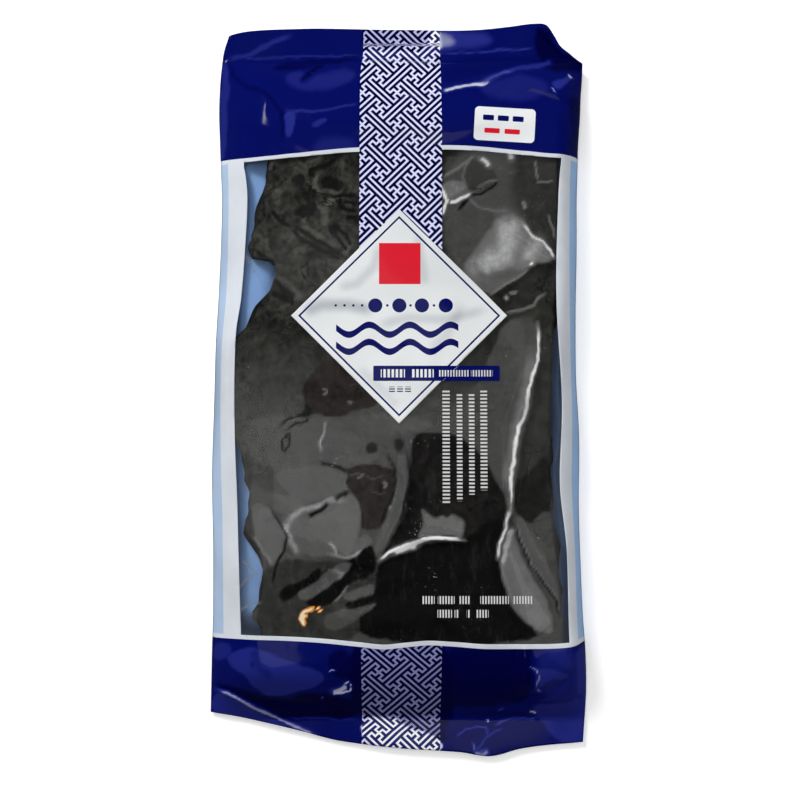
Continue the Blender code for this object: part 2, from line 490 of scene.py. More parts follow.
def mapped(tree, point, scale=(1, 1, 1), rotation=(0, 0, 0)):
    node = addNode(tree, "ShaderNodeMapping")
    node.inputs["Scale"].default_value = scale
    node.inputs["Rotation"].default_value = rotation
    feed(tree, node.inputs["Vector"], point)
    return node.outputs[0]


def mixColour(tree, factor, first, second):
    node = addNode(tree, "ShaderNodeMix", data_type="RGBA")
    feed(tree, node.inputs["Factor"], factor)
    feed(tree, node.inputs[6], first)
    feed(tree, node.inputs[7], second)
    return node.outputs[2]


def noiseNode(tree, vector, scale, detail=3.0, roughness=0.55, distortion=0.0):
    node = addNode(tree, "ShaderNodeTexNoise")
    feed(tree, node.inputs["Vector"], vector)
    values = {"Scale": scale, "Detail": detail, "Roughness": roughness, "Distortion": distortion}
    for name, value in values.items():
        node.inputs[name].default_value = value
    return node.outputs["Fac"]


def ramp(tree, value, low, high):
    node = addNode(tree, "ShaderNodeMapRange", interpolation_type="SMOOTHSTEP")
    for number, entry in enumerate((value, low, high, 0.0, 1.0)):
        feed(tree, node.inputs[number], entry)
    return node.outputs[0]


def bump(tree, height, strength, distance):
    node = addNode(tree, "ShaderNodeBump")
    node.inputs["Strength"].default_value = strength
    node.inputs["Distance"].default_value = distance * mm
    feed(tree, node.inputs["Height"], height)
    return node.outputs["Normal"]


def group(name, inputs, outputs):
    tree = bpy.data.node_groups.new(name, "ShaderNodeTree")
    for kind, sockets in (("INPUT", inputs), ("OUTPUT", outputs)):
        for label, value in sockets.items():
            size = len(value) if isinstance(value, tuple) else 1
            socketType = {1: "NodeSocketFloat", 3: "NodeSocketVector", 4: "NodeSocketColor"}[size]
            socket = tree.interface.new_socket(name=label, in_out=kind, socket_type=socketType)
            if kind == "INPUT":
                socket.default_value = value
    source = tree.nodes.new("NodeGroupInput")
    target = tree.nodes.new("NodeGroupOutput")
    return tree, source.outputs, target.inputs


def useGroup(tree, name, **values):
    node = addNode(tree, "ShaderNodeGroup", node_tree=bpy.data.node_groups[name])
    for label, value in values.items():
        feed(tree, node.inputs[label], value)
    return node.outputs


def boxMaskGroup():
    tree, source, target = group("boxMask", {"Point": (0, 0, 0), "X": 0.0, "Y": 0.0, "HalfWidth": 1.0,
                                             "HalfHeight": 1.0, "Corner": 0.0}, {"Mask": 0.0})
    place = numbersOf(tree, source["Point"])
    out = []
    for number, (centre, half) in enumerate((("X", "HalfWidth"), ("Y", "HalfHeight"))):
        away = apart(tree, place[number], source[centre])
        inner = minus(tree, source[half], source["Corner"])
        out.append(minus(tree, away, inner))
    square = [sums(tree, "POWER", larger(tree, value, 0.0), 2.0) for value in out]
    corner = sums(tree, "SQRT", plus(tree, *square))
    inside = smaller(tree, larger(tree, *out), 0.0)
    distance = minus(tree, plus(tree, corner, inside), source["Corner"])
    feed(tree, target["Mask"], sums(tree, "LESS_THAN", distance, 0.0))


# the strip's key fret: its repeat across and along, its phase and its line width in units of a fifth
fret = {
    "across": 16.4,
    "along": 15.3,
    "x": 6.95,
    "y": 136.1,
    "line": 0.42,
    # middle and half lengths of each bar of a quarter of the swirl
    "bars": ((0.5, 0, 0.5, 0), (1, -0.5, 0, 0.5), (1.5, -1, 0.5, 0), (2, 2.5, 0, 3.5),
             (0.75, -2, 1.75, 0), (1, 1, 0, 0)),
}


def fretGroup():
    tree, source, target = group("fret", {"Point": (0, 0, 0)}, {"Mask": 0.0})
    # the strip keeps its own place along the film in the point's third number
    across, _, along = numbersOf(tree, source["Point"])

    def cell(value, start, length):
        place = sums(tree, "DIVIDE", minus(tree, value, start), length)
        return minus(tree, sums(tree, "FRACT", plus(tree, place, 0.5)), 0.5)

    t = cell(across, fret["x"], fret["across"])
    s = cell(along, fret["y"], fret["along"])
    i = times(tree, plus(tree, s, t), 5.0)
    j = times(tree, minus(tree, s, t), 5.0)
    swap = sums(tree, "GREATER_THAN", sums(tree, "ABSOLUTE", j), sums(tree, "ABSOLUTE", i))
    stay = minus(tree, 1.0, swap)
    p = plus(tree, times(tree, swap, j), times(tree, stay, i))
    minusI = times(tree, i, -1.0)
    q = plus(tree, times(tree, swap, minusI), times(tree, stay, j))
    j = times(tree, q, sums(tree, "SIGN", p))
    i = minus(tree, 2.5, apart(tree, sums(tree, "ABSOLUTE", p), 2.5))
    nearest = None
    for centreI, centreJ, halfI, halfJ in fret["bars"]:
        awayI = minus(tree, apart(tree, i, float(centreI)), float(halfI))
        awayJ = minus(tree, apart(tree, j, float(centreJ)), float(halfJ))
        away = larger(tree, awayI, awayJ)
        nearest = away if nearest is None else smaller(tree, nearest, away)
    feed(tree, target["Mask"], sums(tree, "LESS_THAN", nearest, fret["line"] / 2))


# the fine surface of every film: scale, detail, roughness and distortion of each noise
filmGrain = {
    "crinkle": (55, 2, 0.5, 0.8),
    "ripple": (24, 1, 0.5),
    "rippleShare": 2.0,
    "hazeAndPaintedSheen": (45, 5, 0.7),
    "hazeReach": (0.45, 0.75),
    "depth": 0.25,
}


def filmSurfaceGroup():
    # fine crinkle and dust shared by every film: a height for the bump and a roughness
    tree, source, target = group("filmSurface", {"Point": (0, 0, 0), "Roughness": 0.2, "Dust": 0.1},
                                 {"Height": 0.0, "Roughness": 0.0})
    crinkle, ripple, hazeAndPaintedSheen = (noiseNode(tree, source["Point"], *filmGrain[name])
                             for name in ("crinkle", "ripple", "hazeAndPaintedSheen"))
    ridge = apart(tree, crinkle, 0.5)
    feed(tree, target["Height"], minus(tree, times(tree, ripple, filmGrain["rippleShare"]), ridge))
    hazeAndPaintedSheen = ramp(tree, hazeAndPaintedSheen, *filmGrain["hazeReach"])
    spots = times(tree, hazeAndPaintedSheen, source["Dust"])
    feed(tree, target["Roughness"], plus(tree, source["Roughness"], spots))


# what the painted light of a printed film does: below zero it paints shade, up to one a lighter painted
# sheen, up to two a painted glare
paintedLightColours = {
    "paintedShade": (0.0, 0.0, 0.03, 1),
    "lift": (0.12, 0.155, 1.0, 1),
    "liftShare": 0.14,
    "glare": (0.62, 0.64, 0.78, 1),
}


def filmToneGroup():
    tree, source, target = group("filmTone", {"Colour": (1, 1, 1, 1), "Tone": 0.0}, {"Colour": (1, 1, 1, 1)})
    toneAndPaintedLight = source["Tone"]
    below = smaller(tree, larger(tree, times(tree, toneAndPaintedLight, -1.0), 0.0), 1.0)
    above = smaller(tree, larger(tree, toneAndPaintedLight, 0.0), 1.0)
    lift = times(tree, above, paintedLightColours["liftShare"])
    colour = mixColour(tree, below, source["Colour"], paintedLightColours["paintedShade"])
    colour = mixColour(tree, lift, colour, paintedLightColours["lift"])
    feed(tree, target["Colour"], mixColour(tree, ramp(tree, toneAndPaintedLight, 1.0, 2.0), colour, paintedLightColours["glare"]))


def newMaterial(name, colour, roughness):
    material = bpy.data.materials.new(name)
    material.use_nodes = True
    tree = material.node_tree
    shader = tree.nodes["Principled BSDF"]
    shader.inputs["Base Color"].default_value = colour
    shader.inputs["Roughness"].default_value = roughness
    return material, tree, shader


def objectPoint(tree):
    return tree.nodes.new("ShaderNodeTexCoord").outputs["Object"]


inkGloss = 0.15
inkFinish = (0.1, 0.08, 0.12)
# the printed fields are a little uneven: noise, its reach and how dark they turn
inkShade = ((30, 3, 0.6), (0.3, 0.8), 0.86)
labelUneven = ((16, 2, 0.5, 0.6), (0.42, 0.7))
inkColours = {
    "navy": (0.0015, 0.004, 0.108, 1),
    "fretNavy": (0.0008, 0.0012, 0.036, 1),
    "fretLine": (0.7, 0.71, 0.98, 1),
    "fretPaintedShade": (0.23, 0.235, 0.5, 1),
    "fretGlare": (0.98, 0.98, 1.0, 1),
    "white": (0.72, 0.76, 0.82, 1),
    "leftStripe": (0.45, 0.58, 0.78, 1),
    "rightStripe": (0.38, 0.57, 0.88, 1),
    "label": (0.84, 0.86, 0.87, 1),
    "labelShade": (0.72, 0.75, 0.76, 1),
    "labelPaintedFoldShade": (0.45, 0.48, 0.51, 1),
    "red": (0.72, 0.012, 0.03, 1),
    "backInside": (0.21, 0.36, 0.66, 1),
}


def filmFinish(tree, shader, roughness, dust, strength, gloss=inkGloss):
    shader.inputs["Specular IOR Level"].default_value = gloss
    surface = useGroup(tree, "filmSurface", Point=objectPoint(tree), Roughness=roughness, Dust=dust)
    feed(tree, shader.inputs["Roughness"], surface["Roughness"])
    feed(tree, shader.inputs["Normal"], bump(tree, surface["Height"], strength, filmGrain["depth"]))


def inkMaterial(name, colour, withPaintedLight=False):
    material, tree, shader = newMaterial(name, inkColours[colour], 0.22)
    uneven, reach, darker = inkShade
    shade = ramp(tree, noiseNode(tree, objectPoint(tree), *uneven), *reach)
    dark = tuple(darker * value for value in inkColours[colour][:3]) + (1,)
    ink = mixColour(tree, shade, inkColours[colour], dark)
    # with painted light: used for the painted shade on the back film's inside
    if withPaintedLight:
        ink = useGroup(tree, "filmTone", Colour=ink, Tone=stored(tree, "toneAndPaintedLight"))["Colour"]
    feed(tree, shader.inputs["Base Color"], ink)
    filmFinish(tree, shader, *inkFinish)
    return material


def fretMaterial():
    material, tree, shader = newMaterial("fretFilm", inkColours["fretNavy"], 0.2)
    mask = useGroup(tree, "fret", Point=stored(tree, "print", "Vector"))["Mask"]
    # painted light and shade: the ground lightens and deepens, lines turn to painted glare and darken in
    # painted shade
    toneAndPaintedLight = stored(tree, "toneAndPaintedLight")
    ground = useGroup(tree, "filmTone", Colour=inkColours["fretNavy"], Tone=smaller(tree, toneAndPaintedLight, 0.8))
    glare = ramp(tree, toneAndPaintedLight, 0.5, 2.0)
    line = mixColour(tree, glare, inkColours["fretLine"], inkColours["fretGlare"])
    line = mixColour(tree, ramp(tree, toneAndPaintedLight, 0.0, -1.0), line, inkColours["fretPaintedShade"])
    feed(tree, shader.inputs["Base Color"], mixColour(tree, mask, ground["Colour"], line))
    filmFinish(tree, shader, *inkFinish)
    return material


# what is printed on the label: red square, dot row, discs, waves and the bar
label = {
    "lineHalf": 46.4,
    "lineWidth": 0.85,
    "square": (0.0, 53.5, 9.7, 9.7, 0.2),
    # centres and radius of the discs and of the dots between them
    "rounds": (((-11.4, -0.2, 10.3, 21.4), 3.3), ((-29.8, -25.7, -21.6, -17.5, -5.8, 5.0, 15.9), 0.6)),
    "rowY": 33.8,
    "waves": (22.4, 14.4),
    "waveLength": 18.9,
    "waveHeight": 2.3,
    "waveWidth": 3.1,
    "waveReach": (-1.2, 28.4),
    "bar": (17.0, 2.05, 29.3, 3.55, 0.5),
    "boldStrokes": ((-3.2, 5.6), (10.4, 5.3)),
    "thinStrokes": ((25.0, 6.9), (38.0, 5.0)),
    "smallDashes": ((-3.6, 1.4), (0.1, 1.4), (3.8, 1.4)),
    "smallY": -5.6,
    "foldsBelow": 90,
    # routes, half widths and depths of the painted shade of soft folds
    "folds": (
        (((-46, 30), (-36, 34), (-24, 34), (-10, 31)), 5, 0.9),
        (((-30, 42), (-20, 44), (-12, 52), (-9, 64)), 4, 0.5),
        (((8, 68), (10, 56), (12, 42)), 4, 0.5),
        (((-12, 24), (4, 28), (22, 27), (44, 33)), 4, 0.5),
        (((14, 12), (22, 20), (30, 36)), 4, 0.35),
        (((-20, 6), (-8, -6), (0, -14)), 4, 0.3),
    ),
}


def anyOf(tree, masks):
    total = masks[0]
    for mask in masks[1:]:
        total = larger(tree, total, mask)
    return total


def boxMask(tree, point, x, y, halfWidth, halfHeight, corner=0.0):
    return useGroup(tree, "boxMask", Point=point, X=x, Y=y, HalfWidth=halfWidth, HalfHeight=halfHeight,
                    Corner=corner)["Mask"]


def strokes(tree, point, box, pitch, axis, share=0.5):
    # a row of even strokes
    place = sums(tree, "FRACT", sums(tree, "DIVIDE", numbersOf(tree, point)[axis], pitch))
    return times(tree, boxMask(tree, point, *box), sums(tree, "LESS_THAN", place, share))


def barStrokes(tree, point):
    y = label["bar"][1]
    bold = [strokes(tree, point, (x, y, half, 1.9, 0.2), 1.9, 0, 0.6) for x, half in label["boldStrokes"]]
    return bold + [strokes(tree, point, (x, y, half, 1.5, 0.2), 1.3, 0) for x, half in label["thinStrokes"]]


def labelMaterial():
    material, tree, shader = newMaterial("labelFilm", inkColours["label"], 0.25)
    point = stored(tree, "print", "Vector")
    x, y, _ = numbersOf(tree, point)
    awayX = apart(tree, x, printPlan["label"][0])
    awayY = apart(tree, y, printPlan["label"][1])
    fromLine = apart(tree, plus(tree, awayX, awayY), label["lineHalf"])
    line = sums(tree, "LESS_THAN", fromLine, label["lineWidth"] / math.sqrt(2))
    navy = [line]
    for centres, radius in label["rounds"]:
        navy += [boxMask(tree, point, centre, label["rowY"], radius, radius, radius) for centre in centres]
    phase = times(tree, x, math.tau / label["waveLength"])
    wave = times(tree, sums(tree, "SINE", phase), label["waveHeight"])
    centre, half = label["waveReach"]
    reach = boxMask(tree, point, centre, label["waves"][1], half, 12.0, 2.0)
    for height in label["waves"]:
        off = apart(tree, minus(tree, y, height), wave)
        navy.append(times(tree, reach, sums(tree, "LESS_THAN", off, label["waveWidth"] / 2)))
    navy.append(boxMask(tree, point, *label["bar"]))
    for centre, half in label["smallDashes"]:
        navy.append(strokes(tree, point, (centre, label["smallY"], half, 1.5, 0.3), 1.1, 1))
    uneven, reach = labelUneven
    shade = ramp(tree, noiseNode(tree, objectPoint(tree), *uneven), *reach)
    paper = mixColour(tree, shade, inkColours["label"], inkColours["labelShade"])
    # painted shade of the soft folds
    fold = smaller(tree, stored(tree, "toneAndPaintedLight"), 1.0)
    paper = mixColour(tree, larger(tree, fold, 0.0), paper, inkColours["labelPaintedFoldShade"])
    colour = mixColour(tree, anyOf(tree, navy), paper, inkColours["navy"])
    colour = mixColour(tree, anyOf(tree, barStrokes(tree, point)), colour, inkColours["label"])
    colour = mixColour(tree, boxMask(tree, point, *label["square"]), colour, inkColours["red"])
    feed(tree, shader.inputs["Base Color"], colour)
    filmFinish(tree, shader, 0.14, 0.1, 0.12)
    return material


# painted light and shade on the printed film in the two ends, along its folds: painted highlights, glare and
# painted shade
endTones = {
    "wander": ((9, 0.9), (3.5, 0.5)),
    # the height of the plane on which the marks are laid out: at the upper and at the lower end
    "level": (12, 10),
    # outline, soft edge, tone: painted shade below zero, painted light above
    "patches": (
        (((-63, 151), (-55, 154), (-45, 155), (-33, 156), (-20, 157), (-20, 155), (-35, 153), (-40, 152),
          (-45, 151), (-56, 150)), 1.2, -0.55),
        (((-48, 145), (-45, 149), (-40, 152), (-35, 153), (-41, 149), (-46, 145)), 1.0, -0.65),
        (((-54, 149), (-45, 150), (-49, 144), (-46, 143), (-40, 148), (-26, 152), (-21, 147),
          (-31, 140.5), (-47, 139.5), (-55, 144)), 3, 0.45),
        (((-86, 153), (-83, 155), (-82, 139.5), (-83, 121.5), (-84, 106), (-87, 106)), 1.6, 0.6),
        (((-56, 129), (-51, 130), (-50, 127), (-51, 118.5), (-54, 116.5), (-56, 122.5)), 1.0, 0.95),
        (((-43, 122.5), (-40, 125), (-35, 127), (-35, 124.5), (-40, 121.5)), 0.9, 0.75),
        (((-41, 116.5), (-21, 117.5), (-21, 108), (-41, 108)), 5, 0.4),
        (((10, 170), (40, 169), (46, 164), (37, 161), (10, 160)), 4, 0.9),
        (((13, 170), (23, 169), (28, 165), (25, 161), (13, 160)), 6, 1.4),
        (((65, 171), (72, 171), (74, 162), (88, 154), (89, 149), (71, 150), (66, 155)), 2.5, -0.85),
        (((80, 135.5), (87, 139.5), (87, 106), (81, 110), (83, 122.5)), 2, -0.5),
        (((36, 141.5), (49, 146), (60, 148), (72, 144), (70, 136.5), (49, 134.5)), 4, 0.4),
        (((22, 156), (64, 158), (70, 153), (49, 151), (36, 146), (21, 143)), 3, -0.25),
        (((72, 144), (77, 139.5), (84, 148), (78, 146)), 1.0, 1.0),
        (((-19, 160), (13, 161), (16, 170), (-2, 174), (-19, 174)), 1.5, -0.5),
        (((14, 170), (20, 170), (20, 160), (17, 160)), 2, 1.8),
        (((-18, 158), (-10, 160.5), (2, 158), (14, 159.5), (20, 158.5), (20, 157), (2, 156), (-10, 156),
          (-18, 156)), 0.8, 1.4),
        (((20, -122), (46, -122), (63, -122), (61, -134), (62, -146), (54, -151), (32, -152), (20, -152)),
         3, -0.75),
        (((-24, -116), (25, -116), (25, -171), (11, -164), (2, -160), (-3, -157), (-24, -157)), 1.2, -0.85),
        (((-86, -140), (-78, -143), (-70, -145), (-62, -148), (-52, -149), (-42, -145), (-33, -146),
          (-19, -150), (-19, -158), (-44, -158), (-52, -158), (-62, -154), (-72, -149), (-84, -144)),
         2, -0.9),
        (((-81, -129), (-76, -126), (-70, -125), (-64, -126), (-58, -129), (-52, -131), (-46, -133),
          (-40, -135), (-36, -137), (-35, -140), (-40, -143), (-49, -146), (-57, -148), (-63, -147),
          (-69, -142), (-73, -137), (-78, -134)), 1.0, 0.75),
        (((-70, -130), (-67, -132), (-69, -136)), 1.0, 0.2),
        (((-33, -127), (-26, -125), (-21, -131), (-24, -141), (-33, -137)), 1.4, -0.7),
        (((-87, -145), (-80, -147), (-63, -156), (-44, -165), (-56, -163), (-73, -159), (-88, -156)),
         1.0, 0.75),
        (((-87, -122), (-79, -124), (-78, -128), (-86, -132)), 1.4, 0.5),
        (((64, -124), (84, -124), (85, -150), (66, -150)), 4, 0.4),
        (((60, -134), (64, -135), (71, -135), (80, -137), (76, -139), (68, -141), (65, -144), (64, -137)),
         1.0, 0.95),
        (((68, -127), (76, -125), (81, -131), (81, -136), (76, -133), (72, -131)), 1.6, 0.6),
        (((81, -127), (88, -122), (88, -168), (75, -169), (66, -160), (60, -152), (70, -150), (82, -150),
          (83, -139)), 1.6, 0.75),
        (((21, -158), (32, -157), (60, -157), (70, -162), (60, -173), (40, -177), (31, -174), (21, -171)),
         1.6, -0.2),
        (((-18, -157), (-3, -157), (2, -161), (11, -164), (20, -167), (20, -173), (2, -172), (-18, -168)),
         0.8, 2.0),
        (((34, -173), (40, -170), (42, -173), (39, -176), (36, -176)), 0.9, 1.1),
    ),
    # route, half width, tone: painted shade below zero, painted light above
    "lines": (
        (((-82, 155), (-75, 157), (-68, 160), (-61, 164), (-52, 167)), 1.6, 0.7),
        (((-82, 156.5), (-70, 155.5), (-53, 156.5), (-35, 157), (-19, 157)), 0.7, 0.6),
        (((-82, 153), (-80, 147), (-74, 142), (-68, 140.5), (-61, 135.5), (-57, 129), (-56, 122.5),
          (-57, 115)), 1.3, -0.45),
        (((-55, 130), (-47, 130), (-42, 129), (-33, 131), (-26, 132.5), (-20, 133.5)), 0.8, 0.75),
        (((21, 158), (37, 159), (49, 160), (65, 161)), 0.6, 1.1),
        (((66, 170), (73, 163), (76, 159), (88, 153)), 1.0, -1),
        (((1, 136.5), (8, 137.5)), 0.7, 2.0),
        (((14, 139.5), (20, 140.5)), 0.7, 2.0),
        (((20, 139.5), (25, 140.5), (30, 142), (35, 143), (39, 143), (44, 145)), 1.5, 1.9),
        (((39, 144), (45, 146.5), (50, 149), (56, 150)), 1.5, 1.15),
        (((54, 150), (64, 152), (74, 154)), 1.6, 0.7),
        (((73, 141.5), (75, 139.5)), 0.8, 1.5),
        (((81, 148), (83, 146)), 0.8, 1.6),
        (((-68, -126), (-66, -133), (-60, -139)), 2.4, 0.4),
        (((-86, -144), (-80, -146), (-72, -150), (-64, -154), (-55, -158), (-44, -163), (-38, -166)),
         1.5, 1.5),
        (((-32, -145.5), (-28, -144.5), (-24, -143)), 2.0, 1.7),
        (((-26, -142), (-23, -141), (-22, -143), (-23, -145), (-27, -146), (-32, -146)), 0.7, 2.1),
        (((-33, -136), (-32, -135), (-30, -136)), 0.6, 1.8),
        (((-37, -148), (-36, -147)), 0.7, 1.5),
        (((-52, -157), (-38, -157.5), (-19, -158)), 0.6, 0.5),
        (((64, -135), (64, -139), (64, -144), (66, -145)), 0.8, 1.6),
        (((60, -134), (64, -135)), 0.8, 1.6),
        (((66, -149), (76, -146), (86, -148)), 1.4, 0.4),
        (((26, -166), (30, -162), (35, -161), (40, -162), (41, -166)), 0.7, 1.2),
        (((44, -161), (48, -158), (54, -157), (60, -158), (63, -157)), 0.7, 1.2),
        (((34, -168), (35, -173), (38, -174), (41, -172)), 0.8, 1.4),
        (((34, -173), (38, -169), (42, -165), (48, -161)), 0.6, 0.9),
        (((40, -158), (42, -159)), 0.9, 2.0),
        (((60, -154), (63, -155)), 0.9, 2.0),
        (((46, -154), (48, -153)), 0.7, 1.2),
    ),
}
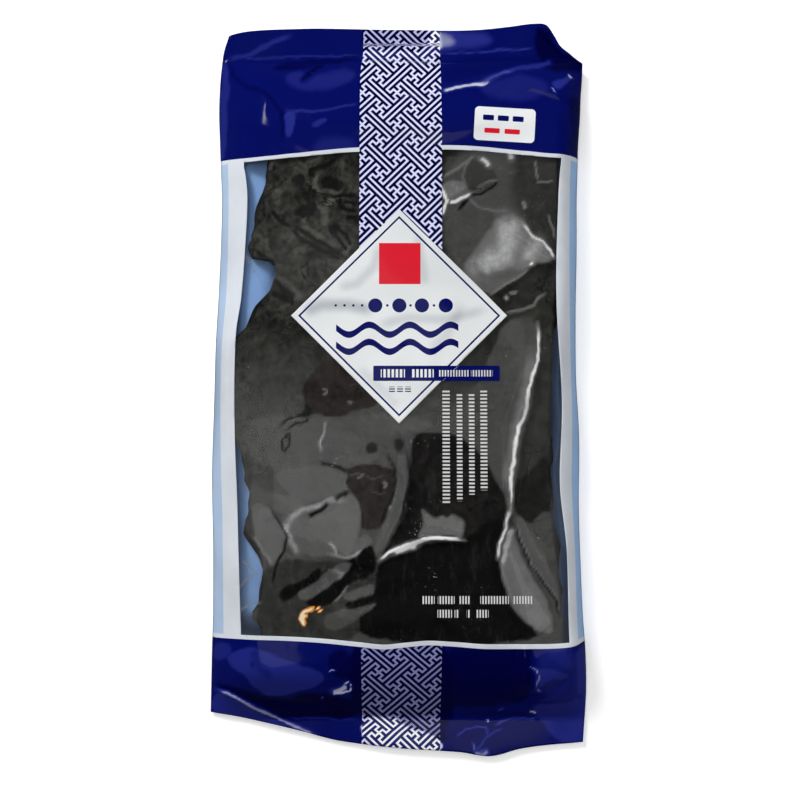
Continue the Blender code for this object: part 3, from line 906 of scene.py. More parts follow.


# painted reflection on the clear film over the kelp: a grey painted sheen in places, dark where there is
# none, and painted white highlights along creases
paintedSheenAndLeaf = {
    "wander": ((11, 0.9), (4, 0.6)),
    # the height of the plane on which the marks are laid out, as the camera sees them
    "level": 23,
    "highSheen": 0.008,
    "lowSheen": 0.11,
    "turn": (25, 60),
    "besideSheenCut": 0.6,
    "besideSpan": 3,
    "black": 0.3,
    # outline, soft edge, sheen, black, red
    "patches": (
        (((20, 109), (62, 109), (60, 60), (56, 48), (37, 38), (20, 58)), 6, 0.105, 0.35, 0),
        (((54, 109), (76, 109), (76, 36), (68, 40), (72, 56), (66, 66), (57, 76), (52, 84)),
         7, 0.03, 0.4, 0),
        (((35, 105), (40, 103), (44, 98), (46, 93), (43, 90), (34, 88), (31, 90), (30, 96), (32, 101)),
         1.2, 0.06, 0.4, 0),
        (((51, 77), (54, 77), (58, 73), (62, 67), (66, 64), (70, 60), (72, 56), (69, 54), (63, 54),
          (61, 52), (55, 48), (47, 43), (41, 38), (34, 45), (29, 52), (36, 61), (43, 72), (47, 76)),
         2.5, 0.37, 0.2, 0),
        (((39, 50), (49, 51), (57, 50), (61, 52), (54, 46), (47, 42), (41, 39), (33, 47)), 3, 0.22, 0.3, 0),
        (((41, 39), (54, 46), (61, 52), (64, 54), (72, 54), (71, 41), (64, 37), (59, 33), (50, 30),
          (46, 34)), 1.2, 0.01, 0.45, 0),
        (((20, 93), (30, 93), (32, 88), (33, 87), (26, 83), (24, 82), (20, 84)), 1.4, 0.36, 0.2, 0),
        (((28, 82), (32, 85), (33, 84), (29, 80), (27, 79)), 0.8, 0, 0.9, 0),
        (((45, 19), (51, 27), (58, 29), (63, 26), (65, 18), (64, 8), (61, -3), (58, -13), (55, -24),
          (52, -43), (50, -56), (45, -47), (39, -36), (32, -24), (29, -13), (37, -3)), 1.6, 0.1, 0.2, 0),
        (((65, 22), (73, 27), (73, -10), (72, -43), (68, -59), (60, -47), (53, -59), (53, -43), (56, -24),
          (61, -8), (65, 8)), 1.4, 0.035, 0.4, 0),
        (((52, -50), (60, -43), (68, -35), (70, -49), (69, -67), (60, -67), (52, -62)), 1.4, 0.014, 0.7, 0),
        (((-71, -22), (-63, -17), (-42, -18), (-17, -17), (5, -18), (19, -22), (5, -25), (-8, -27),
          (-11, -39), (-24, -42), (-36, -39), (-47, -41), (-57, -43), (-67, -38), (-72, -30)),
         3, 0.15, 0.3, 0),
        (((-37, 7), (-30, 10), (-21, 0), (-9, -10), (-10, -13), (-21, -15), (-30, -19), (-40, -16),
          (-46, -19), (-44, -13), (-45, -5), (-43, 0)), 1.2, 0.01, 0.2, 0.9),
        (((-58, -43), (-47, -41), (-36, -40), (-26, -43), (-22, -50), (-26, -52), (-33, -55), (-42, -58),
          (-50, -64), (-56, -62), (-59, -55)), 2, 0.19, 0.25, 0),
        (((6, -26), (16, -25), (28, -27), (38, -35), (45, -49), (50, -60), (48, -68), (45, -76),
          (35, -76), (30, -75), (15, -74), (6, -75), (-4, -80), (-10, -83), (-5, -76), (0, -68), (3, -59),
          (4, -49), (5, -36)), 1.2, 0.004, 0.62, 0.5),
        (((-2, -36), (3, -35), (4, -41), (4, -52), (1, -62), (-2, -70), (-7, -77), (-11, -82), (-11, -74),
          (-6, -66), (-3, -58), (-2, -49), (-1, -41)), 0.9, 0.165, 0.2, 0),
        (((-25, -42), (-17, -40), (-11, -39), (-6, -42), (-2, -42), (-2, -49), (-4, -58), (-6, -65),
          (-10, -70), (-16, -71), (-20, -68), (-18, -60), (-20, -55), (-26, -49), (-24, -44)),
         1.0, 0.01, 0.25, 0.8),
        (((9, -60), (11, -65), (11, -69), (8, -75), (15, -73), (23, -72), (29, -75), (30, -66), (28, -65),
          (24, -62), (22, -65), (19, -63), (17, -65), (14, -64)), 1.6, 0.27, 0.2, 0),
        (((-52, -69), (-51, -65), (-44, -60), (-35, -57), (-26, -53), (-21, -54), (-18, -60), (-18, -68),
          (-20, -74), (-20, -80), (-26, -83), (-35, -82), (-44, -82), (-49, -77)), 1.2, 0.25, 0.2, 0),
        (((-21, -74), (-15, -72), (-13, -76), (-15, -80), (-22, -82)), 1.0, 0.2, 0.2, 0),
        (((-10, -85), (0, -81), (14, -75), (29, -76), (37, -69), (49, -62), (46, -77), (47, -91),
          (51, -102), (59, -112), (65, -122), (-19, -122), (-18, -107), (-11, -98), (-11, -89)),
         1.2, 0.0, 1, 0),
        (((46, -83), (51, -66), (56, -83), (62, -94), (68, -103), (71, -119), (60, -115), (51, -105),
          (47, -94)), 1.2, 0.37, 0.1, 0),
        (((52, -63), (57, -66), (63, -78), (68, -87), (73, -98), (75, -118), (73, -104), (68, -98),
          (62, -88), (56, -78)), 1.2, 0.2, 0.2, 0),
        (((60, -66), (70, -60), (72, -80), (73, -94), (68, -84), (63, -74)), 1.2, 0.1, 0.3, 0),
        (((-69, -41), (-64, -42), (-59, -52), (-58, -64), (-53, -68), (-53, -78), (-57, -86), (-60, -85),
          (-67, -74), (-69, -60)), 1.0, 0.13, 0.3, 0),
        (((-69, -59), (-63, -58), (-58, -63), (-54, -69), (-53, -76), (-57, -87), (-63, -79), (-67, -71)),
         1.0, 0.22, 0.2, 0),
        (((-76, -33), (-68, -38), (-69, -60), (-67, -75), (-73, -84), (-75, -66)), 1.4, 0.08, 0.35, 0),
        (((-63, -89), (-55, -84), (-46, -84), (-32, -85), (-22, -83), (-16, -78), (-11, -84), (-11, -98),
          (-18, -108), (-19, -122), (-63, -122), (-66, -107)), 1.4, 0.035, 0.4, 0),
        (((-24, -84), (-17, -79), (-12, -76), (-10, -87), (-15, -93), (-22, -93), (-26, -100),
          (-35, -106), (-45, -104), (-36, -98)), 0.9, 0.0, 1, 0),
        (((-55, -98), (-51, -96), (-44, -93), (-38, -87), (-36, -88), (-36, -92), (-44, -98), (-50, -102),
          (-55, -102)), 0.9, 0, 1, 0),
        (((-48, -100), (-41, -95), (-33, -89), (-26, -85), (-22, -85), (-23, -88), (-28, -93), (-36, -98),
          (-44, -103)), 0.8, 0.17, 0.2, 0),
        (((-26, -100), (-22, -98), (-17, -96), (-12, -95), (-11, -98), (-16, -100), (-24, -103)),
         0.8, 0.15, 0.3, 0),
        (((-26, -103), (-17, -101), (-12, -100), (-12, -103), (-20, -105), (-24, -106)), 0.8, 0, 1, 0),
        (((-33, -108), (-26, -106), (-17, -105), (-12, -103), (-10, -104), (-17, -109), (-22, -113),
          (-31, -116), (-35, -114)), 1.0, 0.13, 0.3, 0),
        (((-64, 76), (-20, 72), (-20, 34), (-66, 38)), 16, 0.035, 0.18, 0),
        (((-38, 94), (-32, 93), (-26, 92), (-26, 89), (-32, 89), (-35, 90)), 1.0, 0.01, 0.9, 0),
        (((-50, 95), (-46, 96), (-44, 93), (-47, 90), (-50, 92)), 1.6, 0.02, 0.9, 0),
        (((-48, 79), (-44, 82), (-39, 82), (-39, 78), (-42, 75), (-47, 76)), 2.4, 0.02, 0.8, 0),
        (((-16, -31), (-13, -29), (-10, -31), (-11, -35), (-15, -35)), 1.2, 0.03, 0.7, 0),
        (((-3, -29), (2, -28), (2, -32), (0, -35), (-3, -32)), 1.2, 0.03, 0.7, 0),
    ),
    # route, half width, sheen, black: pale lines are painted highlights, dark lines painted shade
    "lines": (
        (((50, 75), (51, 64), (48, 57), (42, 55), (37, 51)), 7, 0.62, 0.2),
        (((65, 65), (62, 60), (60, 55)), 4.5, 0.52, 0.2),
        (((57, 73), (62, 67), (67, 64), (70, 60), (72, 56)), 0.9, 0.85, 0),
        (((61, 53), (63, 53.5)), 1.2, 1, 0),
        (((61, 51), (56, 48), (50, 44), (41, 38)), 0.8, 0.4, 0.2),
        (((33, 85), (38, 80), (44, 79), (51, 79)), 0.8, 0.28, 0.2),
        (((21, 95), (28, 100), (35, 105)), 0.9, 0.3, 0.2),
        (((34, 105), (30, 99), (30, 94), (31, 90), (34, 87)), 0.7, 0.24, 0.2),
        (((38, 104), (41, 102), (42, 100)), 2.0, 0.65, 0.2),
        (((52, 107), (53, 103)), 2.0, 0.6, 0.2),
        (((19, 92), (22, 83), (20, 77)), 1.0, 0.95, 0),
        (((23, 82), (26, 83), (30, 85), (34, 87)), 0.9, 0.9, 0),
        (((33, 86), (39, 88), (43, 90), (46, 92)), 0.8, 0, 1),
        (((36, 90), (42, 93), (46, 93)), 0.8, 0.3, 0.2),
        (((64, 103), (64, 98), (64, 93)), 0.7, 0.35, 0.2),
        (((64, 92), (68, 92), (72, 93)), 0.6, 0.28, 0.2),
        (((58, 84), (59, 80)), 1.0, 0.4, 0.2),
        (((49, 38), (50, 36)), 0.9, 0.6, 0.2),
        (((51, 39), (54, 40)), 0.8, 0.4, 0.2),
        (((70, 77), (71, 72), (72, 66)), 0.8, 0.3, 0.2),
        (((50, 30), (57, 32), (62, 34), (64, 37), (68, 40)), 0.9, 0.3, 0.2),
        (((61, 13), (59, -6), (55, -20), (52, -36), (50, -50)), 3.6, 0.38, 0.2),
        (((64, 26), (65, 18), (64, 8), (60, -6), (58, -15), (55, -24), (53, -33), (52, -43), (51, -52),
          (51, -60)), 1.1, 0.92, 0),
        (((45, -83), (46, -76), (49, -70), (51, -60)), 1.2, 0.85, 0),
        (((47, -86), (50, -76), (52, -69)), 1.6, 0.62, 0.2),
        (((52, -66), (56, -77), (60, -86), (66, -94), (72, -102), (73, -110)), 0.8, 0, 1),
        (((53, -66), (57, -77), (61, -86), (67, -94), (73, -102)), 0.7, 0.4, 0.2),
        (((-10, -84), (-6, -81), (-2, -79), (4, -77), (8, -76), (14, -74), (21, -74), (30, -75)),
         1.0, 1, 0),
        (((-3, -80), (1, -79), (4, -77.5), (8, -77)), 2.2, 0.95, 0),
        (((-51, -67), (-50, -64), (-44, -61), (-36, -59), (-31, -56), (-26, -56)), 2.0, 0.5, 0.2),
        (((-52, -66), (-52, -71), (-50, -76), (-46, -82)), 2.2, 0.52, 0.2),
        (((-33, -81), (-26, -83), (-20, -82), (-18, -79)), 1.0, 0.5, 0.2),
        (((-42, -64), (-39, -63), (-36, -61), (-33, -58)), 1.5, 0, 1),
        (((-30, -56), (-27, -54), (-23, -53)), 1.5, 0.02, 0.9),
        (((-60, -60), (-57, -65), (-54, -69), (-52, -74), (-53, -79), (-56, -84), (-57, -88), (-57, -97)),
         0.8, 0, 1),
        (((-67, -73), (-63, -79), (-58, -86)), 0.8, 0.4, 0.2),
        (((-34, -20), (-35, -25), (-37, -29), (-36, -34)), 0.9, 0.5, 0.2),
        (((-33, -76), (-31, -77), (-30, -79), (-29, -82)), 0.9, 0.6, 0.2),
        (((-30, -88), (-27, -90), (-28, -93)), 1.1, 0.4, 0.2),
        (((-7, -35), (-4, -39), (-2, -42), (-2, -48), (-3, -55), (-6, -62), (-9, -69)), 0.8, 0.02, 1),
        (((3, -35), (4, -42), (4, -50), (2, -58), (0, -67)), 0.8, 0.02, 1),
        (((-56, -23), (-52, -19), (-46, -17), (-42, -15), (-43, -20), (-48, -21), (-53, -25)),
         0.9, 0.02, 0.9),
        (((-54, -36), (-54, -29), (-51, -26), (-51, -31), (-54, -36)), 0.8, 0.02, 0.9),
        (((-36, -39), (-30, -41), (-24, -43)), 1.4, 0.02, 0.8),
        (((-73, -83), (-69, -87), (-65, -91)), 0.7, 0.85, 0),
        (((-74, -98), (-70, -92), (-66, -91)), 0.7, 0.75, 0),
        (((-73, -107), (-68, -104), (-64, -103)), 0.7, 0.9, 0),
        (((-73, 58), (-70, 54), (-68, 49)), 0.6, 0.6, 0),
        (((-8, -48), (-6.5, -49.5), (-7.5, -51)), 0.7, 0.4, 0),
        (((-19, -46), (-16.5, -46)), 0.7, 0.25, 0),
        (((-4.5, -60), (-3.2, -59.5)), 0.7, 0.5, 0),
        (((-36, -5), (-34.5, -5.5), (-34, -7), (-35.5, -8)), 0.6, 0.28, 0),
        (((-24, -11), (-22, -11.5)), 0.7, 0.35, 0),
        (((-30, -103), (-26, -100), (-24, -96)), 0.5, 0.3, 0),
        (((-8, -45), (-12, -47), (-18, -44), (-24, -45)), 0.5, 0.12, 0.6),
        (((-6, -52), (-9, -54), (-14, -52)), 0.5, 0.1, 0.6),
    ),
}


def outlineDistance(x, y, outline):
    # distance to a closed outline with its corners rounded, below zero inside it
    points = np.array(outline, float)
    for _ in range(2):
        after = np.roll(points, -1, axis=0)
        points = np.stack((0.75 * points + 0.25 * after, 0.25 * points + 0.75 * after), axis=1).reshape(-1, 2)
    ends = np.roll(points, -1, axis=0)
    nearest, _, _ = routeDistance(x, y, [*points, points[0]])
    inside = np.zeros(x.shape, bool)
    for start, end in zip(points, ends):
        crosses = (start[1] > y) != (end[1] > y)
        rise = end[1] - start[1] if end[1] != start[1] else 1e-9
        inside ^= crosses & (x < start[0] + (y - start[1]) * (end[0] - start[0]) / rise)
    return np.where(inside, -nearest, nearest)


def layMarks(x, y, plan, *values):
    # each patch and line turns the values towards its own
    for outline, edge, *there in plan["patches"]:
        part = ease(0.5 - outlineDistance(x, y, outline) / edge)
        for value, goal in zip(values, there):
            value += part * (goal - value)
    for route, halfWidth, *there in plan["lines"]:
        part = routePart(x, y, route, halfWidth)
        for value, goal in zip(values, there):
            value += part * (goal - value)


def wandered(x, y, plan):
    # places moved a little, so that outlines given by few points run unevenly
    for number, (size, reach) in enumerate(plan["wander"]):
        x = x + reach * noiseField(x, y, 150 + number, size)
        y = y + reach * noiseField(x, y, 160 + number, size)
    return x, y


def endTone(x, y, z):
    x, y = wandered(*asSeen(x, y, z, np.where(y > 0, *endTones["level"])), endTones)
    toneAndPaintedLight = np.zeros_like(x)
    layMarks(x, y, endTones, toneAndPaintedLight)
    return toneAndPaintedLight


def filmLook(x, y):
    # the film's painted sheen and the leaf's black and red at places seen from above
    x, y = wandered(x, y, paintedSheenAndLeaf)
    middle, span = paintedSheenAndLeaf["turn"]
    lower = ease((middle - y) / span)
    sheen = paintedSheenAndLeaf["highSheen"] + (paintedSheenAndLeaf["lowSheen"] - paintedSheenAndLeaf["highSheen"]) * lower
    black = np.full_like(x, paintedSheenAndLeaf["black"])
    red = np.zeros_like(x)
    layMarks(x, y, paintedSheenAndLeaf, sheen, black, red)
    return sheen, black, red


# what is printed on the clear window: columns and two rows of strokes
windowPrint = {
    # place, top, bottom, half width
    "columns": ((21.4, -6, -58, 1.7), (27.6, -7, -57, 1.3), (33.2, -7, -54, 1.3), (38.8, -6, -52, 1.6)),
    # place along the film and the groups of strokes there: middle, half length
    "rows": ((-102.0, ((13.1, 2.8), (21.2, 3.8), (29.5, 2.8), (43.3, 6.5), (56.0, 4.5))),
             (-108.2, ((20.5, 3.3), (26.0, 1.0), (31.5, 1.0), (37.5, 3.0)))),
    "rowHeight": 1.8,
    "colour": (0.7, 0.7, 0.7, 1),
}
# how the clear film looks: scale, detail, roughness and distortion of each noise
windowLook = {
    "film": (0.05, 0.05, 0.055, 1),
    # painted sheen colour, painted highlight colour, and the sheen over which the highlight takes over
    "hazeAndPaintedSheen": (0.25, 0.255, 0.25, 1),
    "paintedHighlight": (0.85, 0.86, 0.86, 1),
    "paintedHighlightReach": (0.3, 0.95),
    "cover": 0.003,
    "gloss": 0.5,
    "swell": (34, 5, 0.62, 0.8),
    "swellShare": (0.5, 0.7),
    "streak": (130, 4, 0.7, 0.5),
    "streakShare": 0.3,
    "streakScale": (1, 0.22, 1),
    "streakTurn": (0, 0, 0.3),
    "grain": (230, 5, 0.75),
    "grainShare": (0.72, 0.56),
    "flecks": (1000, 2, 0.6),
    "fleckReach": (0.64, 0.72),
    "clusters": (50, 3, 0.6),
    "clusterReach": (0.54, 0.7),
    "dust": 0.3,
}


def swollen(tree, value, share):
    # the share that always stays, and what the value adds
    return plus(tree, share[0], times(tree, value, share[1]))


def windowMaterial():
    look = windowLook
    material, tree, shader = newMaterial("clearFilm", look["film"], 0.1)
    point = stored(tree, "print", "Vector")
    sheen = stored(tree, "sheen")
    place = objectPoint(tree)
    # the painted sheen swells and thins
    swell = swollen(tree, noiseNode(tree, place, *look["swell"]), look["swellShare"])
    stretched = mapped(tree, place, look["streakScale"], look["streakTurn"])
    streak = times(tree, noiseNode(tree, stretched, *look["streak"]), look["streakShare"])
    sheen = times(tree, sheen, plus(tree, swell, streak))
    sheen = times(tree, sheen, swollen(tree, noiseNode(tree, place, *look["grain"]), look["grainShare"]))
    flecks = ramp(tree, noiseNode(tree, place, *look["flecks"]), *look["fleckReach"])
    clusters = ramp(tree, noiseNode(tree, place, *look["clusters"]), *look["clusterReach"])
    sheen = plus(tree, sheen, times(tree, times(tree, flecks, clusters), look["dust"]))
    white = barStrokes(tree, point)
    for x, top, bottom, half in windowPrint["columns"]:
        white.append(strokes(tree, point, (x, (top + bottom) / 2, half, (top - bottom) / 2, 0.3), 1.7, 1))
    for y, groups in windowPrint["rows"]:
        for x, half in groups:
            white.append(strokes(tree, point, (x, y, half, windowPrint["rowHeight"], 0.3), 1.3, 0))
    pale = anyOf(tree, white)
    bar = boxMask(tree, point, *label["bar"])
    # painted highlight where the painted sheen is strong
    highlighted = ramp(tree, sheen, *look["paintedHighlightReach"])
    colour = mixColour(tree, highlighted, look["hazeAndPaintedSheen"], look["paintedHighlight"])
    colour = mixColour(tree, bar, colour, inkColours["navy"])
    colour = mixColour(tree, pale, colour, windowPrint["colour"])
    feed(tree, shader.inputs["Base Color"], colour)
    ink = larger(tree, pale, bar)
    alpha = plus(tree, look["cover"], sheen)
    feed(tree, shader.inputs["Alpha"], smaller(tree, larger(tree, alpha, ink), 1.0))
    filmFinish(tree, shader, 0.05, 0.08, 0.1, look["gloss"])
    return material


# the pale badge on the upper band, slightly turned: ink, places across, and the rest of each box
badge = {
    "turn": 0.06,
    "marks": (
        ("label", (42.1,), (122.4, 14.3, 8.1, 2.0)),
        ("navy", (34.3, 41.3, 48.3), (125.4, 2.6, 1.3, 0.5)),
        ("red", (36.3, 45.8), (119.2, 3.6, 1.2, 0.5)),
    ),
}


def navyMaterial():
    # the end bands, with the pale badge on the upper one
    material, tree, shader = newMaterial("navyFilm", inkColours["navy"], 0.2)
    point = mapped(tree, stored(tree, "print", "Vector"), rotation=(0, 0, badge["turn"]))
    colour = inkColours["navy"]
    for ink, places, box in badge["marks"]:
        marks = anyOf(tree, [boxMask(tree, point, x, *box) for x in places])
        colour = mixColour(tree, marks, colour, inkColours[ink])
    # painted light and shade of the ends over the navy and the badge
    withPaintedLight = useGroup(tree, "filmTone", Colour=colour, Tone=stored(tree, "toneAndPaintedLight"))
    feed(tree, shader.inputs["Base Color"], withPaintedLight["Colour"])
    filmFinish(tree, shader, 0.1, 0.08, 0.14)
    return material


def frontFilm():
    net = flatNet(film["cellsAcross"], film["cellsAlong"])
    cutPrint(net)
    for face in net.faces:
        middle = face.calc_center_median()
        face.material_index = inks.index(inkAt(middle.x, middle.y))
    onPrint = net.verts.layers.float_vector.new("print")
    onSheen = net.verts.layers.float.new("sheen")
    onTone = net.verts.layers.float.new("toneAndPaintedLight")
    places = np.array([vert.co.xy for vert in net.verts])
    x, y = places[:, 0], places[:, 1]
    # the borders' inner edges wander as the film curves
    fromLeft = np.abs(x - printPlan["leftBorder"]) / printPlan["waveReach"]
    fromRight = np.abs(x - printPlan["rightBorder"]) / printPlan["waveReach"]
    toRim = np.minimum(x - smoothLine(bag["leftEdge"], y), smoothLine(bag["rightEdge"], y) - x)
    shift = smoothLine(printPlan["leftWave"], y) * (1 - ease(fromLeft))
    shift += smoothLine(printPlan["rightWave"], y) * (1 - ease(fromRight))
    # and the strip narrows towards the two ends
    along, *drawn = np.array(printPlan["stripWave"]).T
    for edge, values in zip(printPlan["strip"], drawn):
        shift += np.interp(y, along, values) * (1 - ease(np.abs(x - edge) / printPlan["stripReach"]))
    wide = x + shift * ease(toRim / printPlan["rimReach"])
    # and so do the white lines at the two bands
    tall = y
    for end in ("top", "bottom"):
        near = 1 - ease(np.abs(y - printPlan[end + "Band"]) / printPlan["lineReach"])
        tall = tall + smoothLine(printPlan[end + "Wave"], x) * near
    front, _, _ = frontFilmHeights(wide, tall)
    newX, newY = settled(wide, tall)
    sheens, _, _ = filmLook(*asSeen(newX, newY, front, paintedSheenAndLeaf["level"]))
    # painted light and shade in the two ends
    tones = endTone(newX, newY, front)
    # beside the kelp the painted sheen is thinned
    for edge, sign in (("left", 1), ("right", -1)):
        beside = ease(0.5 + sign * (smoothLine(kelp[edge], newY) - newX) / paintedSheenAndLeaf["besideSpan"])
        sheens = sheens * (1 - paintedSheenAndLeaf["besideSheenCut"] * beside)
    u, v = asSeen(newX, newY, front, printPlan["level"])
    strip = np.interp(v, *np.array(printPlan["stripPlaces"]).T)
    # painted shade of the label's soft folds
    for route, halfWidth, depth in label["folds"]:
        tones += depth * routePart(u, v, route, halfWidth, 1, 0) * (v < label["foldsBelow"])
    places = zip(newX, newY, front)
    for vert, sheen, toneAndPaintedLight, place, onFilm in zip(net.verts, sheens, tones, places, zip(u, v, strip)):
        vert[onPrint] = onFilm
        vert[onSheen] = sheen
        vert[onTone] = toneAndPaintedLight
        vert.co = Vector(place) * mm
    clear = inks.index("clear")
    printed = partOfNet(net, lambda face: face.material_index != clear)
    window = partOfNet(net, lambda face: face.material_index == clear)
    net.free()
    for face in window.faces:
        face.material_index = 0
    # in the order of the inks
    materials = [navyMaterial(), inkMaterial("whiteFilm", "white"),
                 inkMaterial("leftStripeFilm", "leftStripe"), fretMaterial(), labelMaterial(),
                 inkMaterial("rightStripeFilm", "rightStripe")]
    printedPiece = makeMesh("printedFilm", printed, materials)
    windowPiece = makeMesh("windowFilm", window, [windowMaterial()])
    thicken(printedPiece, film["thickness"], -1)
    thicken(windowPiece, film["thickness"], -1)
    return printedPiece, windowPiece


def backFilm():
    net = flatNet(film["cellsAcross"] // 2, film["cellsAlong"] // 2)
    places = np.array([vert.co.xy for vert in net.verts])
    _, back, _ = filmHeights(places[:, 0], places[:, 1])
    onPrint = net.verts.layers.float_vector.new("print")
    onTone = net.verts.layers.float.new("toneAndPaintedLight")
    for face in net.faces:
        middle = face.calc_center_median()
        isEnd = middle.y > printPlan["topBand"] or middle.y < printPlan["bottomBand"]
        face.material_index = 0 if isEnd else 1
    for vert, z in zip(net.verts, back):
        vert[onPrint] = (vert.co.x, -vert.co.y - 300, 0.0)
        # painted shade on the inside, deepening towards the right
        shade = [risen(vert.co.x, *place) for place in bag["shadeFrom"]]
        vert[onTone] = -bag["rightShade"] * float(shade[0] * shade[1])
        vert.co = Vector((*settled(vert.co.x, vert.co.y), z)) * mm
    bmesh.ops.reverse_faces(net, faces=net.faces)
    materials = [inkMaterial("backNavy", "navy"), inkMaterial("backPanel", "leftStripe"),
                 inkMaterial("insideBlue", "backInside", True),
                 inkMaterial("insideBluePanel", "backInside", True)]
    piece = makeMesh("backFilm", net, materials)
    thicken(piece, film["thickness"], -1, 2)
    return piece


# the stack of kelp: sheets of wandering outline, the top one seen through the window
kelp = {
    "sheets": 5,
    "thickness": 1.4,
    "topCells": (178, 256),
    "cells": (60, 96),
    # along each way, this part of the cells covers this part of the length
    "finePart": ((0.52, 0.37), (0.46, 0.6)),
    "low": 2.2,
    "gap": 0.9,
    "underBlack": 0.5,
    "underThickness": 1.2,
    "underRelief": 0.5,
    # least room under the front film and over the back film, the step between sheets, and a sinking
    "clear": 0.35,
    "aboveBack": 1.6,
    "step": 1.6,
    "sink": 0.8,
    # reach and length of the waves: left and right edge of the lower sheets, all edges, the ends
    "underWaves": (6, 4, 22),
    "edgeWaves": (0.9, 5),
    "endWaves": (3, 18),
    "end": (-126, 122),
    "left": ((-126, -63), (-114, -63.4), (-110, -68), (-102, -63.5), (-80, -63.7), (-70, -70.8),
             (-56, -69.5), (-47, -71.5), (-36, -73), (-20, -78), (10, -79), (21, -75), (25, -70),
             (35, -64.7), (42, -60), (55, -58.8), (57.5, -70.6), (74, -66.5), (85, -65), (92, -63.3),
             (102, -61.5), (122, -60)),
    "right": ((-126, 75), (-94, 73), (-76, 71), (-48, 69.3), (-11, 70), (36, 72), (60, 73.6), (122, 74)),
    # route, half width and depth of the creases that show as dark slits, darkened with painted shade
    "slits": (
        (((-60, 79), (-58, 76), (-55, 73), (-51, 71)), 1.2, -1.4),
        (((-49, 71), (-46, 69), (-40, 65), (-34, 62), (-30, 59), (-27, 57)), 1.1, -1.6),
        (((-50, 70), (-48, 67), (-45, 64), (-40, 62), (-37, 60), (-33, 59), (-29, 56)), 1.2, -1.6),
        (((-33, 71), (-29, 70), (-25, 67), (-23, 62)), 1.0, -1.2),
        (((-33, 70), (-30, 67), (-27, 63), (-25, 60)), 1.1, -1.4),
        (((-30, 104), (-35, 100), (-42, 98), (-42, 96), (-40, 96)), 1.1, -1.2),
        (((-28, 85), (-28, 81), (-25, 79), (-20, 78)), 1.1, -1.4),
        (((-32, 85), (-27, 86), (-20, 86)), 1.1, -1.2),
        (((-26, 83), (-20, 82)), 0.9, -1.0),
        (((-42, 91), (-42, 88), (-39, 88)), 1.2, -1.2),
        (((-25, 75.5), (-20, 75)), 1.6, -1.2),
        (((-59, 47), (-55, 42), (-51, 39), (-50, 34)), 1.2, -1.4),
        (((-60, 40), (-55, 38), (-52, 36)), 1.6, -1.2),
        (((-67, 60), (-65, 58), (-63, 56)), 0.9, -0.8),
        (((-36, 93.5), (-32, 92.5), (-27, 90.5)), 3.2, -2.0),
        (((-49, 93.5), (-45, 94)), 2.6, -1.6),
        (((-47, 78), (-43, 79), (-40, 78)), 3.4, -1.6),
        (((-48, -64), (-41, -60), (-34, -61), (-28, -57)), 3, -2.4),
        (((-41, -96), (-30, -90), (-20, -88), (-8, -92)), 4, -2.4),
    ),
    "paintedSlitShade": 1.1,
    # route, half width and strength of the pale dusty ridges
    "dusts": (
        (((-39, 96), (-40, 92), (-40, 90), (-37, 88)), 1.6, 0.7),
        (((-38, 82), (-35, 77), (-35, 71)), 2.2, 0.6),
        (((-34, 88), (-30, 87), (-30, 85), (-33, 83), (-35, 80)), 1.8, 0.6),
        (((-57, 93), (-57, 88), (-58, 81)), 2.6, 0.5),
        (((-45, 73), (-44, 77)), 1.2, 0.5),
        (((-52, 56), (-48, 60), (-44, 61)), 1.8, 0.5),
        (((-48, 72.5), (-41, 69), (-35, 65), (-28, 61)), 1.2, 0.5),
        (((-27, 59), (-25, 59), (-23, 62)), 1.1, 0.8),
        (((-58, 48), (-52, 44), (-48, 40), (-46, 37)), 1.6, 0.5),
        (((-61, 98), (-60, 102)), 1.2, 0.6),
        (((-63, 70), (-62, 62), (-61, 57)), 1.4, 0.5),
    ),
    "wrinkles": ((30, 1.4), (13, 1.1), (5.5, 0.5), (2.6, 0.2)),
    # how much painted shade each of those sizes puts in the hollows
    "paintedHollowShade": (0, 0.35, 0.4, 0.3),
    # routes and half widths of the drop of amber: the leaf's own amber with a painted glint
    "amberAndPaintedGlint": (
        (((-44, -113), (-45.5, -110.5), (-44.5, -108), (-42.5, -106.8), (-40, -106.2)), 1.0),
        (((-44, -112), (-44.5, -110), (-43, -109)), 1.0),
        (((-37.5, -105.8), (-36, -107.5)), 0.7),
    ),
}


def leafRoughness(x, y):
    # the leaf is rough at the upper left and calmer elsewhere
    return 0.35 + 0.65 * ease((40 - x) / 45) * (0.35 + 0.65 * ease((y - 5) / 40))


def kelpRelief(x, y, layer):
    height = foldHeights(x, y, kelp["slits"]) if layer == 0 else np.zeros_like(x)
    rough = leafRoughness(x, y)
    for number, (size, depth) in enumerate(kelp["wrinkles"]):
        height += depth * crumpleField(x, y, 60 + 7 * layer + number, size) * (1 if number == 0 else rough)
    return height


def leafTones(x, y):
    # how black, red and amber the top sheet is, with painted shade and a painted glint
    _, black, red = filmLook(x, y)
    rough = leafRoughness(x, y)
    # painted shade in the hollows
    for number, ((size, _), share) in enumerate(zip(kelp["wrinkles"], kelp["paintedHollowShade"])):
        black -= share * rough * (crumpleField(x, y, 60 + number, size) - 0.1)
    for route, halfWidth, dust in kelp["dusts"]:
        black -= dust * routePart(x, y, route, halfWidth)
    # painted shade in the slits
    for route, halfWidth, _ in kelp["slits"]:
        black += routePart(x, y, route, halfWidth, 1.1) * np.maximum(kelp["paintedSlitShade"] - black, 0)
    amberAndPaintedGlint = np.zeros_like(x)
    for route, halfWidth in kelp["amberAndPaintedGlint"]:
        distance, _, _ = routeDistance(x, y, route)
        amberAndPaintedGlint = np.maximum(amberAndPaintedGlint, 1.3 - distance / halfWidth)
    return np.stack((black, red, np.clip(amberAndPaintedGlint, 0, 1)), axis=1)


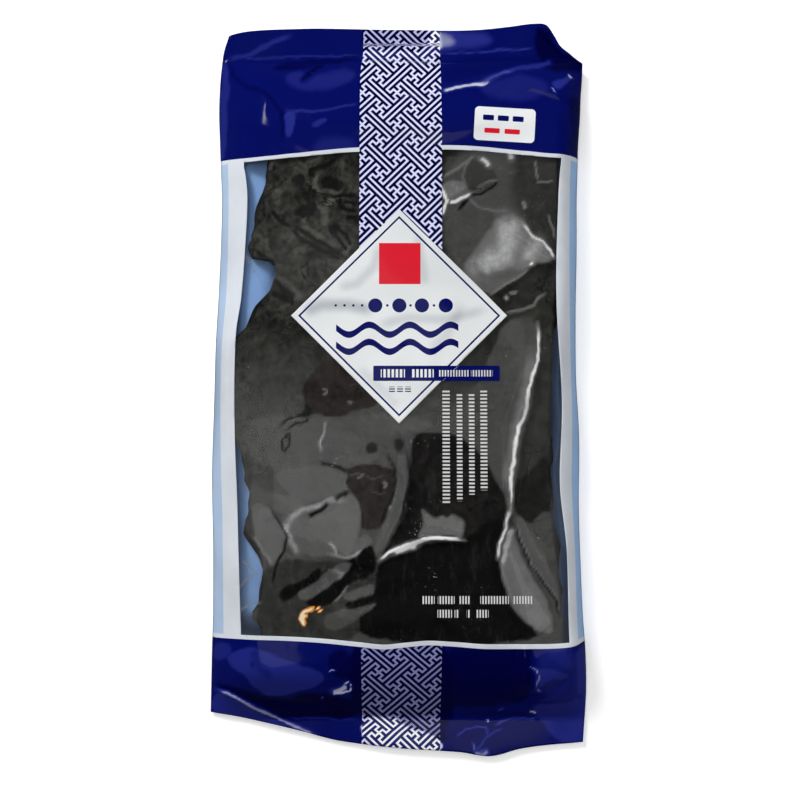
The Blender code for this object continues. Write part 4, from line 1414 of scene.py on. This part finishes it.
def kelpSheet(number, material):
    isTop = number == 0
    across, along = kelp["topCells"] if isTop else kelp["cells"]
    net = bmesh.new()
    bmesh.ops.create_grid(net, x_segments=across, y_segments=along, size=0.5)
    places = np.array([vert.co.xy for vert in net.verts]) + 0.5
    if isTop:
        # finer cells towards the upper left, where the leaf shows best
        for axis, (part, length) in enumerate(kelp["finePart"]):
            places[:, axis] = np.interp(places[:, axis], (0, part, 1), (0, length, 1))
    low, high = kelp["end"]
    y = low + (high - low) * places[:, 1]
    *reaches, span = kelp["underWaves"]
    edges = []
    for turn, (edge, reach) in enumerate(zip(("left", "right"), reaches)):
        at = smoothLine(kelp[edge], y)
        if not isTop:
            at = at + reach * noiseField(y, y * 0, 80 + 10 * turn + number, span)
        fine, fineSpan = kelp["edgeWaves"]
        edges.append(at + fine * noiseField(y, y * 0, 100 + 10 * turn + number, fineSpan))
    left, right = edges
    x = left + (right - left) * places[:, 0]
    reach, span = kelp["endWaves"]
    y = y + reach * noiseField(x, y * 0, 120 + number, span) * np.abs(2 * places[:, 1] - 1) ** 6
    front, back, _ = frontFilmHeights(x, y)
    room = front - back - film["thickness"] * 2
    level = 1 - number / kelp["sheets"]
    z = back + kelp["low"] + (room - kelp["low"] - kelp["gap"]) * level
    z = z + kelpRelief(x, y, number) * (1 if isTop else kelp["underRelief"])
    highest = front - film["thickness"] - kelp["clear"] - number * kelp["step"]
    z = np.clip(z - kelp["sink"], back + kelp["aboveBack"], highest)
    tones = leafTones(x, y) if isTop else np.tile((kelp["underBlack"], 0.0, 0.0), (len(x), 1))
    onTone = net.verts.layers.float_vector.new("toneAndPaintedLight")
    onRough = net.verts.layers.float.new("rough")
    for vert, rough in zip(net.verts, leafRoughness(x, y)):
        vert[onRough] = rough
    for vert, toneAndPaintedLight, place in zip(net.verts, tones, zip(*settled(x, y), z)):
        vert[onTone] = toneAndPaintedLight
        vert.co = Vector(place) * mm
    piece = makeMesh(f"kelpSheet{number + 1}", net, [material])
    thicken(piece, kelp["thickness" if isTop else "underThickness"], -1)
    return piece


kelpColours = {
    "olive": (0.025, 0.0245, 0.021, 1),
    "dust": (0.08, 0.078, 0.069, 1),
    "black": (0.0025, 0.0025, 0.0025, 1),
    "red": (0.021, 0.0155, 0.0148, 1),
    "amberAndPaintedGlint": (0.72, 0.25, 0.02, 1),
    "paintedGlintCore": (1.0, 0.88, 0.6, 1),
    "bloom": (0.5, 0.5, 0.48, 1),
}
# scale, detail, roughness and distortion of each noise, and where its effect starts and is full
leafLook = {
    "gloss": 0.05,
    "dusty": (160, 6, 0.72),
    "dustyShare": -1.2,
    "dustyReach": (-0.7, 0.35),
    "broad": (45, 5, 0.65, 0.6),
    "broadShare": 0.9,
    "blackReach": (0.05, 0.85),
    "creases": ((34, 0.012, (0.48, 0.56)), (70, 0.016, (0.5, 0.6))),
    "creaseNoise": (3, 0.55, 0.7),
    "fibreScale": (1, 0.2, 1),
    "fibre": (260, 5, 0.7, 0.4),
    "fibreReach": (0.52, 0.72),
    "fibreShare": 0.14,
    "specks": (900, 2, 0.5),
    "speckReach": (0.68, 0.74),
    "speckPlaces": (40, 3, 0.6),
    "speckPlaceReach": (0.6, 0.7),
    "amberReach": (0.1, 0.4),
    "paintedGlintCoreReach": (0.55, 0.9),
    "roughness": (0.34, 0.3),
    "grain": (420, 5, 0.65, 0.5),
    "grainShare": 0.4,
    "veins": (130, 3, 0.6, 1.2),
    "bump": (1.0, 0.8),
}


def kelpMaterial():
    look = leafLook
    material, tree, shader = newMaterial("kelpLeaf", kelpColours["olive"], 0.45)
    shader.inputs["Specular IOR Level"].default_value = look["gloss"]
    point = objectPoint(tree)
    black, red, amberAndPaintedGlint = numbersOf(tree, stored(tree, "toneAndPaintedLight", "Vector"))
    rough = stored(tree, "rough")
    dusty = noiseNode(tree, point, *look["dusty"])
    broad = noiseNode(tree, point, *look["broad"])
    darker = plus(tree, black, times(tree, minus(tree, broad, 0.5), look["broadShare"]))
    dustier = times(tree, minus(tree, dusty, 0.5), rough)
    darker = plus(tree, darker, times(tree, dustier, look["dustyShare"]))

    def turnTo(colour, name, value, reach, share=None):
        part = ramp(tree, value, *look[reach])
        part = part if share is None else times(tree, part, share)
        return mixColour(tree, part, colour, kelpColours[name])

    colour = turnTo(kelpColours["dust"], "olive", darker, "dustyReach")
    colour = mixColour(tree, red, colour, kelpColours["red"])
    colour = turnTo(colour, "black", darker, "blackReach")
    # painted shade of thin creases that wander over the leaf
    for scale, width, reach in look["creases"]:
        wander = minus(tree, noiseNode(tree, point, scale, *look["creaseNoise"]), 0.5)
        line = minus(tree, 1.0, ramp(tree, sums(tree, "ABSOLUTE", wander), 0.0, width))
        there = ramp(tree, noiseNode(tree, point, scale * 0.7, 2, 0.5), *reach)
        colour = mixColour(tree, times(tree, line, there), colour, kelpColours["black"])
    fibre = noiseNode(tree, mapped(tree, point, look["fibreScale"]), *look["fibre"])
    colour = turnTo(colour, "dust", fibre, "fibreReach", look["fibreShare"])
    where = ramp(tree, noiseNode(tree, point, *look["speckPlaces"]), *look["speckPlaceReach"])
    colour = turnTo(colour, "bloom", noiseNode(tree, point, *look["specks"]), "speckReach", where)
    colour = turnTo(colour, "amberAndPaintedGlint", amberAndPaintedGlint, "amberReach")
    # the near-white core is a painted glint
    colour = turnTo(colour, "paintedGlintCore", amberAndPaintedGlint, "paintedGlintCoreReach")
    feed(tree, shader.inputs["Base Color"], colour)
    feed(tree, shader.inputs["Roughness"], swollen(tree, dusty, look["roughness"]))
    grain = noiseNode(tree, point, *look["grain"])
    veins = noiseNode(tree, point, *look["veins"])
    height = times(tree, plus(tree, times(tree, grain, look["grainShare"]), veins), rough)
    feed(tree, shader.inputs["Normal"], bump(tree, height, *look["bump"]))
    return material


# studio: floor, lights and the camera above the bag
studio = {
    "floorSize": 2400,
    "floorColour": (0.93, 0.93, 0.93, 1),
    "floorGlow": 0.4,
    "worldColour": (1, 1, 1, 1),
    "roomStrength": 0.03,
    "backdropStrength": 1.0,
    # name: place, size, power in watts, and what it lights
    "lights": {
        "ceiling": ((-100, 60, 1500), (1700, 700), 9.2, "fill"),
        "side": ((1200, 0, 700), (700, 900), 3.0, "fill"),
        "key": ((-620, 900, 1000), (420, 420), 15, "fill"),
        "panel": ((-50, -60, 1500), (900, 480), 1.6, "shine"),
        "glint": ((-560, 1000, 1130), (260, 260), 3.5, "shine"),
    },
    "aim": (0, 0, 10),
    "look": (0.1, -8.4, 0),
    "distance": 620,
    "tilt": 4.63,
    "lens": 58.0,
}


def makeStudio():
    floor = bmesh.new()
    bmesh.ops.create_grid(floor, x_segments=1, y_segments=1, size=studio["floorSize"] * mm / 2)
    material, _, shader = newMaterial("paleFloor", studio["floorColour"], 0.9)
    shader.inputs["Specular IOR Level"].default_value = 0.1
    shader.inputs["Emission Color"].default_value = studio["floorColour"]
    shader.inputs["Emission Strength"].default_value = studio["floorGlow"]
    piece = makeMesh("floor", floor, [material], smooth=False)
    piece.location.z = -0.2 * mm
    piece.visible_glossy = False
    scene = bpy.context.scene
    world = bpy.data.worlds.new("studio")
    world.use_nodes = True
    # the room is dim, so that the film reflects only the lights, but the backdrop behind looks pale
    background = world.node_tree.nodes["Background"]
    background.inputs["Color"].default_value = studio["worldColour"]
    seen = world.node_tree.nodes.new("ShaderNodeLightPath").outputs["Is Camera Ray"]
    more = times(world.node_tree, seen, studio["backdropStrength"])
    strength = plus(world.node_tree, more, studio["roomStrength"])
    feed(world.node_tree, background.inputs["Strength"], strength)
    scene.world = world
    for name, (place, size, power, task) in studio["lights"].items():
        data = bpy.data.lights.new(name, "AREA")
        data.shape = "RECTANGLE"
        data.size, data.size_y = size[0] * mm, size[1] * mm
        data.energy = power
        light = bpy.data.objects.new(name, data)
        light.visible_diffuse = task == "fill"
        light.visible_glossy = task == "shine"
        light.location = Vector(place) * mm
        light.rotation_euler = (Vector(studio["aim"]) - Vector(place)).to_track_quat("-Z", "Y").to_euler()
        scene.collection.objects.link(light)
    data = bpy.data.cameras.new("camera")
    data.lens = studio["lens"]
    camera = bpy.data.objects.new("camera", data)
    tilt = math.radians(studio["tilt"])
    back = Vector((0, -math.sin(tilt), math.cos(tilt)))
    camera.location = (Vector(studio["look"]) + back * studio["distance"]) * mm
    camera.rotation_euler = (tilt, 0, 0)
    scene.collection.objects.link(camera)
    scene.camera = camera
    scene.view_settings.view_transform = "Standard"


makeStudio()
print("studio ready")
boxMaskGroup()
fretGroup()
filmSurfaceGroup()
filmToneGroup()
printedPiece, windowPiece = frontFilm()
print("front film made")
backPiece = backFilm()
print("back film made")
leaf = kelpMaterial()
sheets = [kelpSheet(number, leaf) for number in range(kelp["sheets"])]
print("kelp made")

slots = [(printedPiece, "printed_film"), (windowPiece, "clear_film"), (backPiece, "printed_film")]
for piece, slotName in [*slots, *((sheet, "kelp") for sheet in sheets)]:
    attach(piece, "root")
    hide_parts("kelp_bag")
    print(piece.name, len(piece.data.polygons), "faces")
